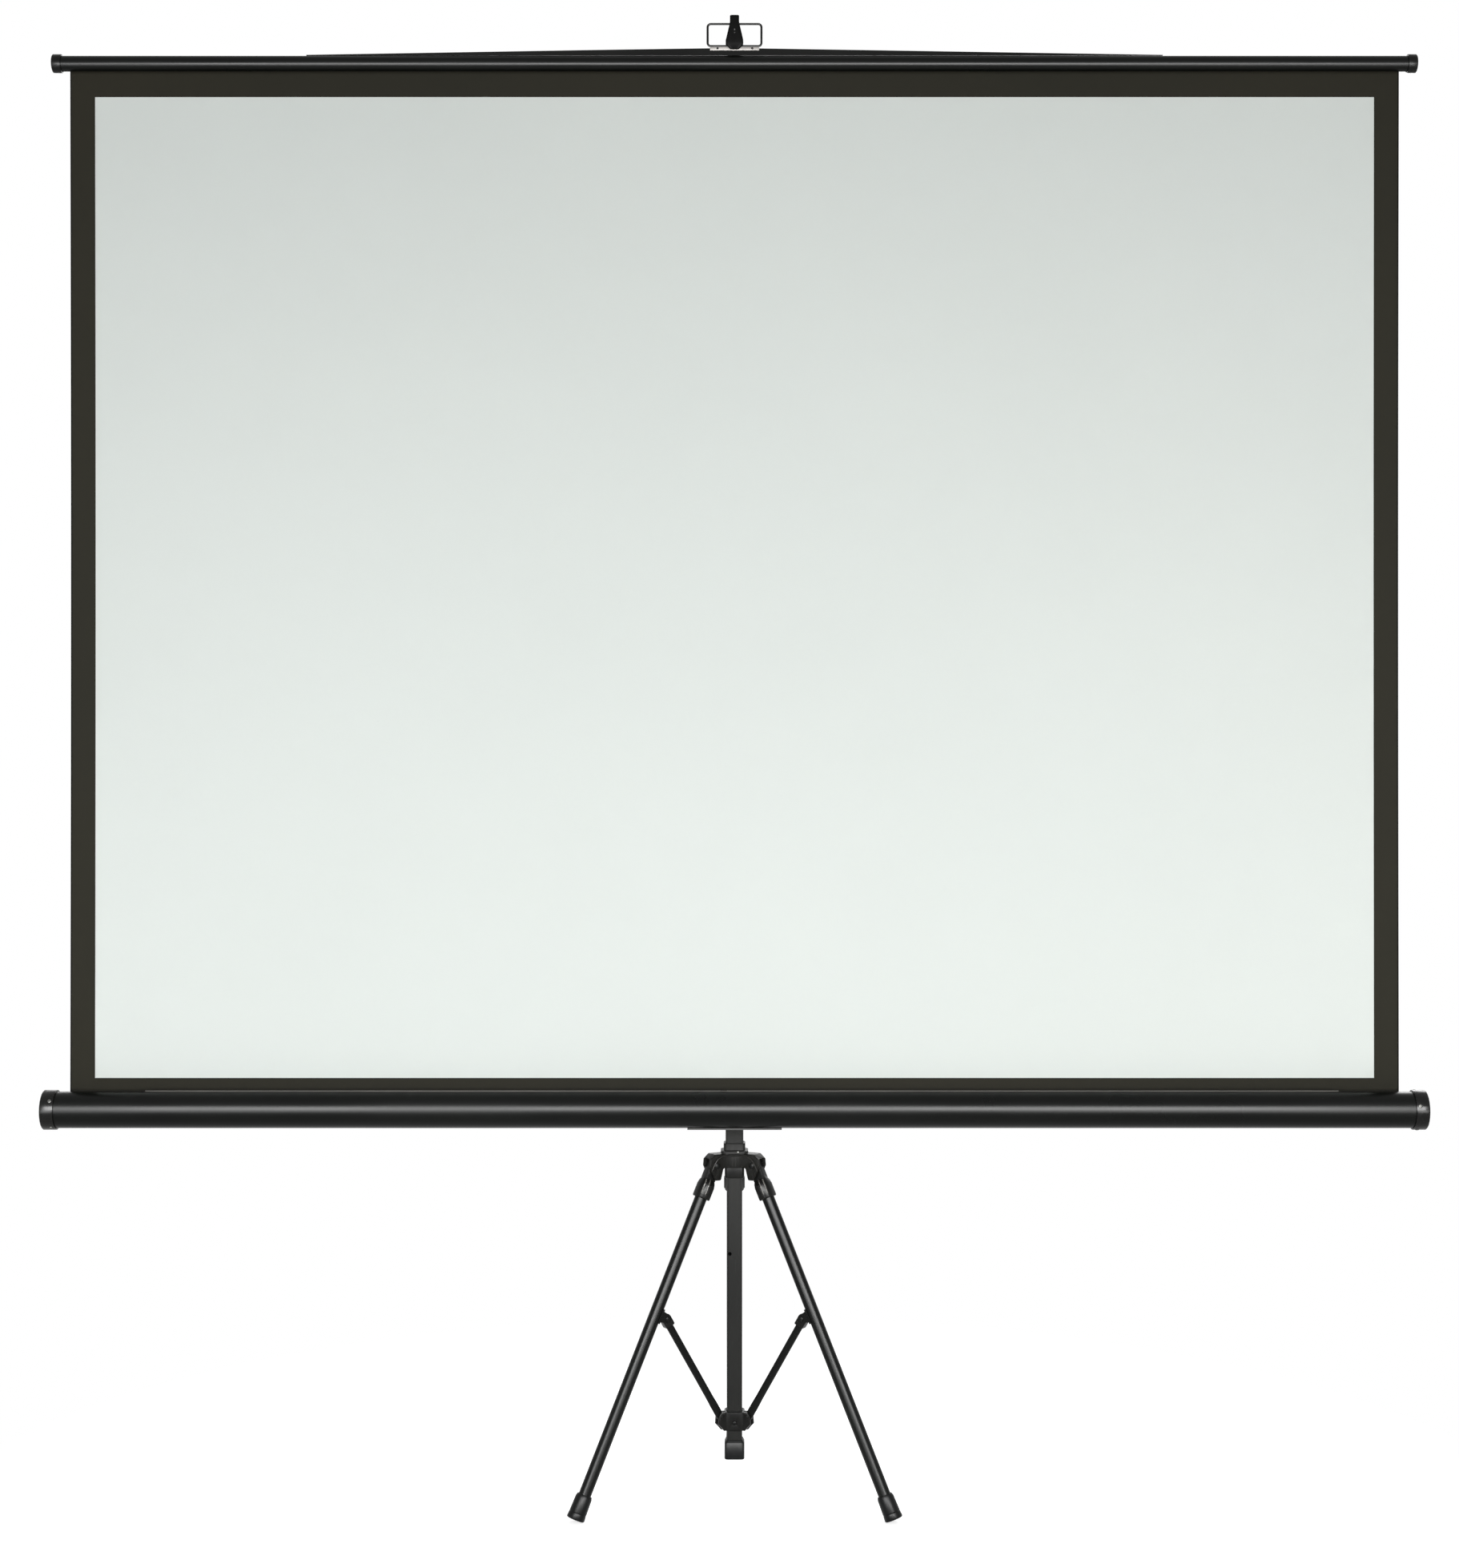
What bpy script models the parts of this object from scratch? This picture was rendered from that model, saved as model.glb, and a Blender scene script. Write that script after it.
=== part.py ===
"""Tripod projector screen at real size: metres, +Z up, the picture side facing -Y.

The origin lies on the floor, under the middle of the stand's outline.
"""

import math

import bmesh
import bpy
from mathutils import Vector

MM = 0.001
DEG = math.radians(1)

# Gap kept between pieces that touch or slide
CLEAR = 0.3 * MM

# Stand: legs
LEG_AZIMUTHS = {"left": 210 * DEG, "right": -30 * DEG, "rear": 90 * DEG}
LEG_ANGLE = 24.96 * DEG
LEG_PIVOT_RADIUS = 38.6 * MM
LEG_PIVOT_HEIGHT = 537.5 * MM
LEG_TUBE_RADIUS = 10 * MM
LEG_TUBE_WALL = 1.2 * MM
LEG_HEAD_EYE_RADIUS = 9.5 * MM
LEG_HEAD_EYE_WIDTH = 14 * MM
LEG_HEAD_LENGTH = 56 * MM
LEG_HEAD_NECK = 25 * MM
LEG_HEAD_DEPTH = 25.4 * MM
LEG_HEAD_BREADTH = 32 * MM
LEG_HEAD_RIB_WIDTH = 5 * MM
LEG_HEAD_RIB_HEIGHT = 0.9 * MM
LEG_BORE_START = 30 * MM
LEG_PIN_RADIUS = 3 * MM
LEG_PIN_HEAD_RADIUS = 5 * MM
LEG_PIN_HEAD_HEIGHT = 2 * MM

# Stand: rubber feet
FOOT_RADIUS = 14 * MM
FOOT_LENGTH = 40 * MM
FOOT_FLARE = 0.7 * MM
FOOT_FLOOR = 9 * MM
FOOT_GROOVE_HEIGHT = 11 * MM
FOOT_GROOVE_DEPTH = 0.6 * MM
FOOT_SHOULDER = 4.5 * MM
FOOT_LIP_RADIUS = 11.8 * MM
SOLE_MIDDLE_HEIGHT = 3.9 * MM

# Stand: braces between the legs and the collar
BRACKET_DISTANCE = 251.9 * MM
BRACKET_OFFSET = 19.2 * MM
BRACKET_LENGTH = 24 * MM
BRACKET_SHEET = 2 * MM
BRACKET_HALF_ARC = 62 * DEG
BRACKET_EYE_RADIUS = 6.4 * MM
BRACE_LENGTH = 196.7 * MM
BRACE_TUBE_RADIUS = 6 * MM
BRACE_END_THICKNESS = 5 * MM
BRACE_END_BREADTH = 13 * MM
BRACE_END_FLAT = 21 * MM
BRACE_END_BLEND = 20 * MM
BRACE_HEAD_THICKNESS = 14.4 * MM
BRACE_HEAD_RADIUS = 8 * MM
BRACE_HEAD_LENGTH = 15 * MM
BRACE_HEAD_EDGE = 1.2 * MM
BRACE_HEAD_BORE_START = 5.5 * MM
BRACE_PIN_RADIUS = 2.5 * MM
BRACE_PIN_HEAD_RADIUS = 4 * MM
BRACE_PIN_HEAD_HEIGHT = 1.4 * MM

# Stand: hub
HUB_RADIUS = 25 * MM
HUB_BELOW_PIVOT = 4.5 * MM
HUB_ABOVE_PIVOT = 18.5 * MM
HUB_FLANGE_WIDTH = 44 * MM
HUB_FLANGE_HEIGHT = 5 * MM
HUB_SOCKET_WALL = 2.8 * MM
HUB_SOCKET_HEIGHT = 16 * MM
HUB_CHEEK = 5 * MM
HUB_CHEEK_REACH = 13.4 * MM
HUB_CHEEK_DROP = 23.5 * MM
HUB_CHEEK_TIP_OUTER = 3.5 * MM
HUB_CHEEK_TIP_INNER = 7 * MM
HUB_CHEEK_THROAT = 12 * MM
HUB_WEB = 7 * MM
HUB_EDGE = 1.2 * MM
GUIDE_WALL = 3 * MM
GUIDE_HEIGHT = 29 * MM
GUIDE_SEAT = 12 * MM

# Square tubes: mast, centre post and extension pole
MAST_WIDTH = 28.6 * MM
MAST_WALL = 1.2 * MM
MAST_LENGTH = 1150 * MM
POST_WIDTH = 25 * MM
POST_WALL = 1.3 * MM
POST_ABOVE_PIVOT = 100 * MM
POST_BELOW_COLLAR = 66 * MM
POLE_LENGTH = 1150 * MM
POLE_WALL = 1.2 * MM
TUBE_CORNER = 4 * MM
TUBE_FIT = 0.3 * MM
POST_HOLE_RADIUS = 3.2 * MM
POST_HOLE_BELOW_PIVOT = 144 * MM
POST_HOLE_OFFSET = 7.5 * MM

# Stand: collar and end cap on the centre post
COLLAR_PIVOT_RADIUS = 26.5 * MM
COLLAR_WALL = 3.7 * MM
COLLAR_ABOVE_PIVOT = 7.5 * MM
COLLAR_BELOW_PIVOT = 23 * MM
COLLAR_CHEEK = 4 * MM
COLLAR_EDGE = 1 * MM
COLLAR_LUG_REACH = 6 * MM
COLLAR_SLOT_RADIUS = 18.2 * MM
COLLAR_SCREW_RADIUS = 3.2 * MM
COLLAR_SCREW_HEAD = 1.4 * MM
COLLAR_SCREW_DROP = 10 * MM
COLLAR_RIVET_RADIUS = 3.2 * MM
COLLAR_RIVET_HEAD = 1 * MM
POST_CAP_WALL = 3.2 * MM
POST_CAP_HEIGHT = 31 * MM
POST_CAP_FLOOR = 3 * MM
POST_CAP_SHOULDER = 5 * MM

# Carriage of the case
SLIDER_GAP = 26 * MM
SLIDER_WALL = 5 * MM
SLIDER_HEIGHT = 140 * MM
SLIDER_EDGE = 1.5 * MM
PIVOT_ABOVE_SLIDER_BASE = 37 * MM
PIVOT_BOSS_RADIUS = 20 * MM
PIVOT_SHAFT_RADIUS = 8 * MM
PIVOT_SHAFT_DEPTH = 24 * MM
PIVOT_HEAD_RADIUS = 12 * MM
PIVOT_HEAD_HEIGHT = 2 * MM
SADDLE_LENGTH = 149 * MM
SADDLE_SHEET = 2.5 * MM
SADDLE_FRONT_ANGLE = -102 * DEG
SADDLE_BACK_ANGLE = 28 * DEG
SADDLE_PAD_LENGTH = 90 * MM
SADDLE_PAD_HEIGHT = 40 * MM
SADDLE_PAD_DEPTH = 6 * MM
HANDLE_SPAN = 112 * MM
HANDLE_REACH = 40 * MM
HANDLE_BAR_RADIUS = 8 * MM
HANDLE_BEND = 16 * MM
HANDLE_FOOT_LENGTH = 26 * MM
HANDLE_FOOT_BREADTH = 24 * MM
HANDLE_FOOT_HEIGHT = 5 * MM
HANDLE_ABOVE_SLIDER_BASE = 70 * MM

# Clamp knobs of the carriage and of the pole
KNOB_RADIUS = 14 * MM
KNOB_LOBE = 1.8 * MM
KNOB_LOBES = 5
KNOB_THICKNESS = 13 * MM
KNOB_EDGE = 1.5 * MM
KNOB_NECK_RADIUS = 7 * MM
KNOB_NECK_LENGTH = 4 * MM
KNOB_STUD_RADIUS = 3 * MM
KNOB_BOSS_RADIUS = 10 * MM
KNOB_BOSS_HEIGHT = 7 * MM
SLIDER_KNOB_HEIGHT = 36 * MM

# Mast top collar
TOP_COLLAR_WALL = 4 * MM
TOP_COLLAR_SKIRT = 42 * MM
TOP_COLLAR_LIP = 24 * MM

# Pole end guide
POLE_GUIDE_HEIGHT = 30 * MM
POLE_GUIDE_SPIGOT = 22 * MM

# Case, with the roller inside
SCREEN_TO_MAST = 65 * MM
CASE_RADIUS = 28.8 * MM
CASE_WALL = 1.2 * MM
CASE_OVERHANG = 38.5 * MM
CASE_SLOT_WIDTH = 5 * MM
CASE_CAP_RADIUS = 31.5 * MM
CASE_CAP_LIP = 17.5 * MM
CASE_CAP_END = 6 * MM
CASE_CAP_DOME = 2.4 * MM
CASE_BOSS_RADIUS = 9 * MM
CASE_BOSS_LENGTH = 24 * MM
CASE_BOSS_FLOOR = 2 * MM
ROLLER_RADIUS = 16 * MM
ROLLER_WALL = 1 * MM
ROLLER_OVERHANG = 0.5 * MM
WOUND_THICKNESS = 4 * MM
ROLLER_PIN_RADIUS = 4 * MM
ROLLER_PLUG_DEPTH = 18 * MM
ROLLER_FLANGE = 3 * MM
ROLLER_PIN_LENGTH = 20 * MM
SPRING_SHAFT_RADIUS = 5 * MM
SPRING_SHAFT_LENGTH = 420 * MM
SPRING_WIRE_RADIUS = 0.9 * MM
SPRING_TURNS = 12
SPRING_TURN_POINTS = 8
SPRING_PITCH = 14 * MM
SPRING_START = 60 * MM

# Screen cloth
CLOTH_WIDTH = 2111 * MM
CLOTH_THICKNESS = 0.5 * MM
SCREEN_RISE = 1659.3 * MM
CLOTH_IN_BAR = 10 * MM

# Top bar
BAR_RADIUS = 12.25 * MM
BAR_WALL = 1.2 * MM
BAR_OVERHANG = 28.9 * MM
BAR_SLOT_WIDTH = 2 * MM
BAR_CAP_RADIUS = 14.75 * MM
BAR_CAP_LIP = 13 * MM
BAR_CAP_END = 3 * MM
BAR_CAP_DOME = 1.6 * MM
STRIP_HALF_LENGTH = 680 * MM
STRIP_HEIGHT = 11.7 * MM
STRIP_TIP_HEIGHT = 0.8 * MM
STRIP_THICKNESS = 6 * MM
STRIP_CURVE = 1.12

# Bail and its plate
BAIL_PLATE_LENGTH = 78 * MM
BAIL_PLATE_SHEET = 1.5 * MM
BAIL_PLATE_FLANGE = 6 * MM
BAIL_EAR_OFFSET = 10 * MM
BAIL_EAR_HEIGHT = 6.5 * MM
BAIL_WIDTH = 89 * MM
BAIL_HEIGHT = 38.8 * MM
BAIL_WIRE_RADIUS = 1.75 * MM
BAIL_BEND = 5 * MM
BAIL_TUCK = 8.3 * MM

# Hook on the pole
HOOK_ARM_THICKNESS = 12 * MM
HOOK_ARM_SHOULDER = 7 * MM
HOOK_NOTCH_HALF_WIDTH = 5.2 * MM
HOOK_NOSE_RISE = 13.2 * MM
HOOK_NOSE_THICKNESS = 5 * MM
HOOK_NOSE_GAP = 6 * MM
HOOK_NOSE_HALF_WIDTH = 7 * MM
HOOK_CHIN_HALF_WIDTH = 13 * MM
HOOK_FOOT_HALF_WIDTH = 6.3 * MM
HOOK_NECK_DROP = 0.2 * MM
HOOK_CHIN_DROP = 31 * MM
HOOK_FOOT_DROP = 39 * MM
HOOK_CAP_WALL = 3 * MM
HOOK_CAP_HEIGHT = 46 * MM
HOOK_CAP_TOP = 4 * MM
HOOK_CAP_BELOW_SEAT = 4 * MM

# Facets
SEGMENTS_SMALL = 8
SEGMENTS_MEDIUM = 16
SEGMENTS_LARGE = 24
CORNER_STEPS = 2

# Heights and depths that follow from the sizes above
LEG_REACH = (LEG_PIVOT_HEIGHT - SOLE_MIDDLE_HEIGHT) / math.cos(LEG_ANGLE)
SOLE_RADIUS_FROM_MAST = LEG_PIVOT_RADIUS + LEG_REACH * math.sin(LEG_ANGLE)
SOLE_EDGE = FOOT_RADIUS + FOOT_FLARE
REAR_REACH = SOLE_RADIUS_FROM_MAST + SOLE_EDGE * math.cos(LEG_ANGLE)
FRONT_AZIMUTH = LEG_AZIMUTHS["right"]
FRONT_REACH = -SOLE_RADIUS_FROM_MAST * math.sin(FRONT_AZIMUTH) + SOLE_EDGE * math.hypot(
    math.cos(LEG_ANGLE) * math.sin(FRONT_AZIMUTH), math.cos(FRONT_AZIMUTH)
)
MAST_Y = (FRONT_REACH - REAR_REACH) / 2

BRACKET_RADIUS_FROM_MAST = (
    LEG_PIVOT_RADIUS
    + BRACKET_DISTANCE * math.sin(LEG_ANGLE)
    - BRACKET_OFFSET * math.cos(LEG_ANGLE)
)
BRACKET_HEIGHT = (
    LEG_PIVOT_HEIGHT
    - BRACKET_DISTANCE * math.cos(LEG_ANGLE)
    - BRACKET_OFFSET * math.sin(LEG_ANGLE)
)
BRACE_ANGLE = math.asin((BRACKET_RADIUS_FROM_MAST - COLLAR_PIVOT_RADIUS) / BRACE_LENGTH)
COLLAR_PIVOT_HEIGHT = BRACKET_HEIGHT - BRACE_LENGTH * math.cos(BRACE_ANGLE)

HUB_BASE = LEG_PIVOT_HEIGHT - HUB_BELOW_PIVOT
HUB_TOP = LEG_PIVOT_HEIGHT + HUB_ABOVE_PIVOT
HUB_SOCKET_TOP = HUB_TOP + HUB_SOCKET_HEIGHT
HUB_SLOT_WIDTH = LEG_HEAD_EYE_WIDTH + 2 * CLEAR
MAST_BASE = HUB_BASE + GUIDE_SEAT + CLEAR
MAST_TOP = MAST_BASE + MAST_LENGTH
SLIDER_BASE = HUB_SOCKET_TOP + SLIDER_GAP
CASE_HEIGHT = SLIDER_BASE + PIVOT_ABOVE_SLIDER_BASE
BAR_HEIGHT = CASE_HEIGHT + SCREEN_RISE

CLOTH_Y = MAST_Y - SCREEN_TO_MAST
WOUND_RADIUS = ROLLER_RADIUS + CLEAR + WOUND_THICKNESS
CLOTH_BEHIND_CASE = WOUND_RADIUS + CLEAR + CLOTH_THICKNESS / 2
CASE_Y = CLOTH_Y - CLOTH_BEHIND_CASE
CASE_TO_MAST = MAST_Y - CASE_Y
CASE_HALF = CLOTH_WIDTH / 2 + CASE_OVERHANG
CASE_TUBE_HALF = CASE_HALF - CASE_CAP_END - CLEAR
ROLLER_HALF = CLOTH_WIDTH / 2 + ROLLER_OVERHANG
BAR_HALF = CLOTH_WIDTH / 2 + BAR_OVERHANG
BAR_TUBE_HALF = BAR_HALF - BAR_CAP_END - CLEAR

SADDLE_PAD_FRONT = CASE_TO_MAST - CASE_RADIUS - 2 * CLEAR
SADDLE_PAD_BACK = SADDLE_PAD_FRONT - SADDLE_PAD_DEPTH
SLIDER_WIDTH = MAST_WIDTH + 2 * TUBE_FIT + 2 * SLIDER_WALL
POLE_WIDTH = POST_WIDTH - 2 * POST_WALL - 2 * TUBE_FIT

STRIP_BASE = BAR_RADIUS + CLEAR
STRIP_TOP = STRIP_BASE + STRIP_HEIGHT
BAIL_PLATE_TOP = STRIP_TOP + CLEAR + BAIL_PLATE_SHEET
BAIL_PIVOT_RISE = BAIL_PLATE_TOP + BAIL_WIRE_RADIUS + CLEAR
BAIL_TOP_RISE = BAIL_PLATE_TOP + BAIL_HEIGHT - BAIL_WIRE_RADIUS
HOOK_SEAT_RISE = BAIL_TOP_RISE - BAIL_WIRE_RADIUS - CLEAR
HOOK_CAP_TOP_RISE = HOOK_SEAT_RISE - HOOK_CAP_BELOW_SEAT
POLE_TOP = BAR_HEIGHT + HOOK_CAP_TOP_RISE - HOOK_CAP_TOP - CLEAR
POLE_BASE = POLE_TOP - POLE_LENGTH

# Rotations that stand an XY outline up, or lay a turned piece down
ALONG_X = (90 * DEG, 0, 90 * DEG)
FACING_FRONT = (90 * DEG, 0, 0)
TURNED_TO_RIGHT = (0, 90 * DEG, 0)
TURNED_TO_LEFT = (0, -90 * DEG, 0)
TURNED_TO_FRONT = (90 * DEG, 0, 0)

# Finishes: colour, roughness, metallic
BLACK_PAINT = ((0.016, 0.017, 0.016), 0.3, 0.0)
BLACK_ENAMEL = ((0.013, 0.015, 0.013), 0.22, 0.0)
BLACK_PLASTIC = ((0.02, 0.02, 0.019), 0.5, 0.0)
BLACK_RUBBER = ((0.012, 0.012, 0.012), 0.75, 0.0)
ZINC = ((0.62, 0.6, 0.55), 0.35, 1.0)
DARK_STEEL = ((0.09, 0.09, 0.085), 0.4, 1.0)
BRIGHT_STEEL = ((0.5, 0.5, 0.5), 0.3, 1.0)
GREY_PLASTIC = ((0.3, 0.3, 0.3), 0.5, 0.0)
SCREEN_CLOTH = ((0.62, 0.66, 0.63), 0.85, 0.0)

for old in list(bpy.data.objects):
    bpy.data.objects.remove(old)


def new_collection(name):
    made = bpy.data.collections.new(name)
    bpy.context.scene.collection.children.link(made)
    return made


PARTS = new_collection("tripod_projector_screen")
CUTTERS = new_collection("cutters")


# Outlines

def arc(centre, radius, start, end, steps):
    """Points on an arc from start to end, both ends included."""
    angles = [start + (end - start) * i / steps for i in range(steps + 1)]
    return [(centre[0] + radius * math.cos(a), centre[1] + radius * math.sin(a)) for a in angles]


def circle(radius, steps):
    return arc((0, 0), radius, 0, 360 * DEG, steps)[:-1]


def rounded_rectangle(width, height, radius, steps=CORNER_STEPS):
    """Outline of a rectangle about the origin, with round corners."""
    x, y = width / 2 - radius, height / 2 - radius
    corners = ((x, y, 0), (-x, y, 90), (-x, -y, 180), (x, -y, 270))
    outline = []
    for cx, cy, start in corners:
        outline += arc((cx, cy), radius, start * DEG, (start + 90) * DEG, steps)
    return outline


def slotted_ring(outer, inner, middle, half_gap, steps):
    """A C-shaped ring outline, open for half_gap to each side of the angle middle."""
    start, end = middle + half_gap, middle - half_gap + 360 * DEG
    return arc((0, 0), outer, start, end, steps) + arc((0, 0), inner, end, start, steps)


def fillet(previous, corner, following, radius, steps):
    """Arc points that replace one corner of a path."""
    here = Vector(corner)
    back = (Vector(previous) - here).normalized()
    ahead = (Vector(following) - here).normalized()
    half = back.angle(ahead) / 2
    middle = here + (back + ahead).normalized() * radius / math.sin(half)
    first = here + back * radius / math.tan(half) - middle
    last = here + ahead * radius / math.tan(half) - middle
    turn = math.pi - 2 * half
    points = []
    for i in range(steps + 1):
        share = i / steps
        mixed = first * math.sin((1 - share) * turn) + last * math.sin(share * turn)
        points.append(tuple(middle + mixed / math.sin(turn)))
    return points


def filleted(points, radius, steps=3):
    """A closed outline with every corner rounded to one radius."""
    outline = []
    for i, corner in enumerate(points):
        following = points[(i + 1) % len(points)]
        outline += fillet(points[i - 1], corner, following, radius, steps)
    return outline


def domed(radius, top, height, steps=3):
    """Profile of a shallow dome, from the axis outwards."""
    return [(radius * i / steps, top - height * (i / steps) ** 2) for i in range(steps + 1)]


# Meshes

def add_object(name, mesh, finish, parent=None, location=(0, 0, 0), rotation=(0, 0, 0)):
    """A sub-part when it has a finish, otherwise a hidden cutter."""
    made = bpy.data.objects.new(name, mesh)
    if finish:
        PARTS.objects.link(made)
        colour, roughness, metallic = finish
        material = bpy.data.materials.new(name)
        material.use_nodes = True
        shader = material.node_tree.nodes["Principled BSDF"]
        shader.inputs["Base Color"].default_value = (*colour, 1)
        shader.inputs["Roughness"].default_value = roughness
        shader.inputs["Metallic"].default_value = metallic
        mesh.materials.clear()
        mesh.materials.append(material)
    else:
        CUTTERS.objects.link(made)
        made.hide_render = True
        made.display_type = "WIRE"
    made.parent = parent
    made.location = location
    made.rotation_euler = rotation
    return made


def add_empty(name, parent=None, location=(0, 0, 0), rotation=(0, 0, 0)):
    made = bpy.data.objects.new(name, None)
    PARTS.objects.link(made)
    made.empty_display_size = 0.03
    made.parent = parent
    made.location = location
    made.rotation_euler = rotation
    return made


def mesh_from_curve(curve):
    """The closed mesh of a curve, with its caps welded on."""
    holder = bpy.data.objects.new(curve.name, curve)
    CUTTERS.objects.link(holder)
    evaluated = holder.evaluated_get(bpy.context.evaluated_depsgraph_get())
    mesh = bpy.data.meshes.new_from_object(evaluated)
    bpy.data.objects.remove(holder)
    work = bmesh.new()
    work.from_mesh(mesh)
    bmesh.ops.remove_doubles(work, verts=work.verts, dist=1e-6)
    bmesh.ops.dissolve_limit(work, angle_limit=1 * DEG, verts=[], edges=work.edges)
    bmesh.ops.recalc_face_normals(work, faces=work.faces)
    work.to_mesh(mesh)
    work.free()
    mesh.shade_smooth()
    mesh.set_sharp_from_angle(angle=40 * DEG)
    return mesh


def plate(name, outlines, thickness):
    """Flat outlines in XY, thick along Z about the middle; an inner outline is a hole."""
    curve = bpy.data.curves.new(name, "CURVE")
    curve.dimensions = "2D"
    curve.fill_mode = "BOTH"
    curve.extrude = thickness / 2
    for outline in outlines:
        spline = curve.splines.new("POLY")
        spline.points.add(len(outline) - 1)
        for point, (x, y) in zip(spline.points, outline):
            point.co = (x, y, 0, 1)
        spline.use_cyclic_u = True
    return mesh_from_curve(curve)


def rod(name, path, radius, resolution=2):
    """A round wire or bar along a path of 3D points."""
    curve = bpy.data.curves.new(name, "CURVE")
    curve.dimensions = "3D"
    curve.bevel_depth = radius
    curve.bevel_resolution = resolution
    curve.use_fill_caps = True
    spline = curve.splines.new("POLY")
    spline.points.add(len(path) - 1)
    for point, place in zip(spline.points, path):
        point.co = (*place, 1)
    return mesh_from_curve(curve)


def cylinder(name, radius, length, segments=SEGMENTS_MEDIUM):
    """A cylinder about the origin, along Z."""
    work = bmesh.new()
    bmesh.ops.create_cone(
        work, cap_ends=True, segments=segments, radius1=radius, radius2=radius, depth=length
    )
    return finished_mesh(name, work)


def block(name, size):
    """A box about the origin."""
    work = bmesh.new()
    bmesh.ops.create_cube(work, size=1)
    bmesh.ops.scale(work, vec=size, verts=work.verts)
    return finished_mesh(name, work)


def loft(name, rings):
    """A closed skin over rings of equal point count, listed from low Z to high Z."""
    work = bmesh.new()
    loops = [[work.verts.new(point) for point in ring] for ring in rings]
    count = len(loops[0])
    for lower, upper in zip(loops, loops[1:]):
        for i in range(count):
            following = (i + 1) % count
            work.faces.new((lower[i], lower[following], upper[following], upper[i]))
    work.faces.new(list(reversed(loops[0])))
    work.faces.new(loops[-1])
    bmesh.ops.recalc_face_normals(work, faces=work.faces)
    return finished_mesh(name, work)


def finished_mesh(name, work):
    mesh = bpy.data.meshes.new(name)
    work.to_mesh(mesh)
    work.free()
    mesh.shade_smooth()
    mesh.set_sharp_from_angle(angle=40 * DEG)
    return mesh


def level_ring(width, depth, radius, height, steps=CORNER_STEPS):
    """One loft ring: a rounded rectangle at a height."""
    return [(x, y, height) for x, y in rounded_rectangle(width, depth, radius, steps)]


def turned(name, profile, finish, segments, parent=None, location=(0, 0, 0), rotation=(0, 0, 0)):
    """A profile of (radius, height) points, spun about Z. It runs down its outer side."""
    mesh = bpy.data.meshes.new(name)
    edges = [(i, i + 1) for i in range(len(profile) - 1)]
    mesh.from_pydata([(x, 0, z) for x, z in profile], edges, [])
    made = add_object(name, mesh, finish, parent, location, rotation)
    spin = made.modifiers.new("spin", "SCREW")
    spin.steps = segments
    spin.render_steps = segments
    spin.use_merge_vertices = True
    spin.merge_threshold = 1e-6
    return made


def turned_ring(name, profile, finish, segments, parent=None, location=(0, 0, 0), rotation=(0, 0, 0)):
    """A closed profile, spun about Z."""
    closed = list(profile) + [profile[0]]
    made = turned(name, closed, finish, segments, parent, location, rotation)
    weld = made.modifiers.new("close", "WELD")
    weld.merge_threshold = 1e-6
    return made


# Modifiers

def cut(target, *tools):
    for tool in tools:
        change = target.modifiers.new("cut", "BOOLEAN")
        change.operation = "DIFFERENCE"
        change.solver = "EXACT"
        change.object = tool


def join(target, *tools):
    for tool in tools:
        change = target.modifiers.new("join", "BOOLEAN")
        change.operation = "UNION"
        change.solver = "EXACT"
        change.object = tool


def round_edges(target, width, segments=1):
    change = target.modifiers.new("edges", "BEVEL")
    change.width = width
    change.segments = segments
    change.limit_method = "ANGLE"
    change.angle_limit = 50 * DEG


def square_tube(name, width, wall, base, top, finish, parent):
    """An upright square tube with round corners, open at both ends."""
    inner = width - 2 * wall
    outlines = [
        rounded_rectangle(width, width, TUBE_CORNER),
        rounded_rectangle(inner, inner, TUBE_CORNER - wall),
    ]
    mesh = plate(name, outlines, top - base)
    return add_object(name, mesh, finish, parent, (0, 0, (base + top) / 2))


def square_bore(name, width, base, top, parent):
    """Cutter for the bore that a square tube of this width passes with its fit."""
    bore = width + 2 * TUBE_FIT
    mesh = plate(name, [rounded_rectangle(bore, bore, TUBE_CORNER)], top - base)
    return add_object(name, mesh, None, parent, (0, 0, (base + top) / 2))


# Stand

def hub_clevis_outline():
    """Side view of one clevis of the hub, as (radius from the mast, height)."""
    inside = HUB_RADIUS * 0.6
    tip = LEG_PIVOT_HEIGHT - HUB_CHEEK_DROP
    return [
        (inside, HUB_TOP),
        (LEG_PIVOT_RADIUS + HUB_CHEEK_REACH - 10 * MM, HUB_TOP),
        (LEG_PIVOT_RADIUS + HUB_CHEEK_REACH - 1 * MM, HUB_TOP - 8 * MM),
        (LEG_PIVOT_RADIUS + HUB_CHEEK_REACH, LEG_PIVOT_HEIGHT),
        (LEG_PIVOT_RADIUS + HUB_CHEEK_TIP_OUTER, tip),
        (LEG_PIVOT_RADIUS - HUB_CHEEK_TIP_INNER, tip),
        (LEG_PIVOT_RADIUS - HUB_CHEEK_THROAT, HUB_BASE),
        (inside, HUB_BASE),
    ]


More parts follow.
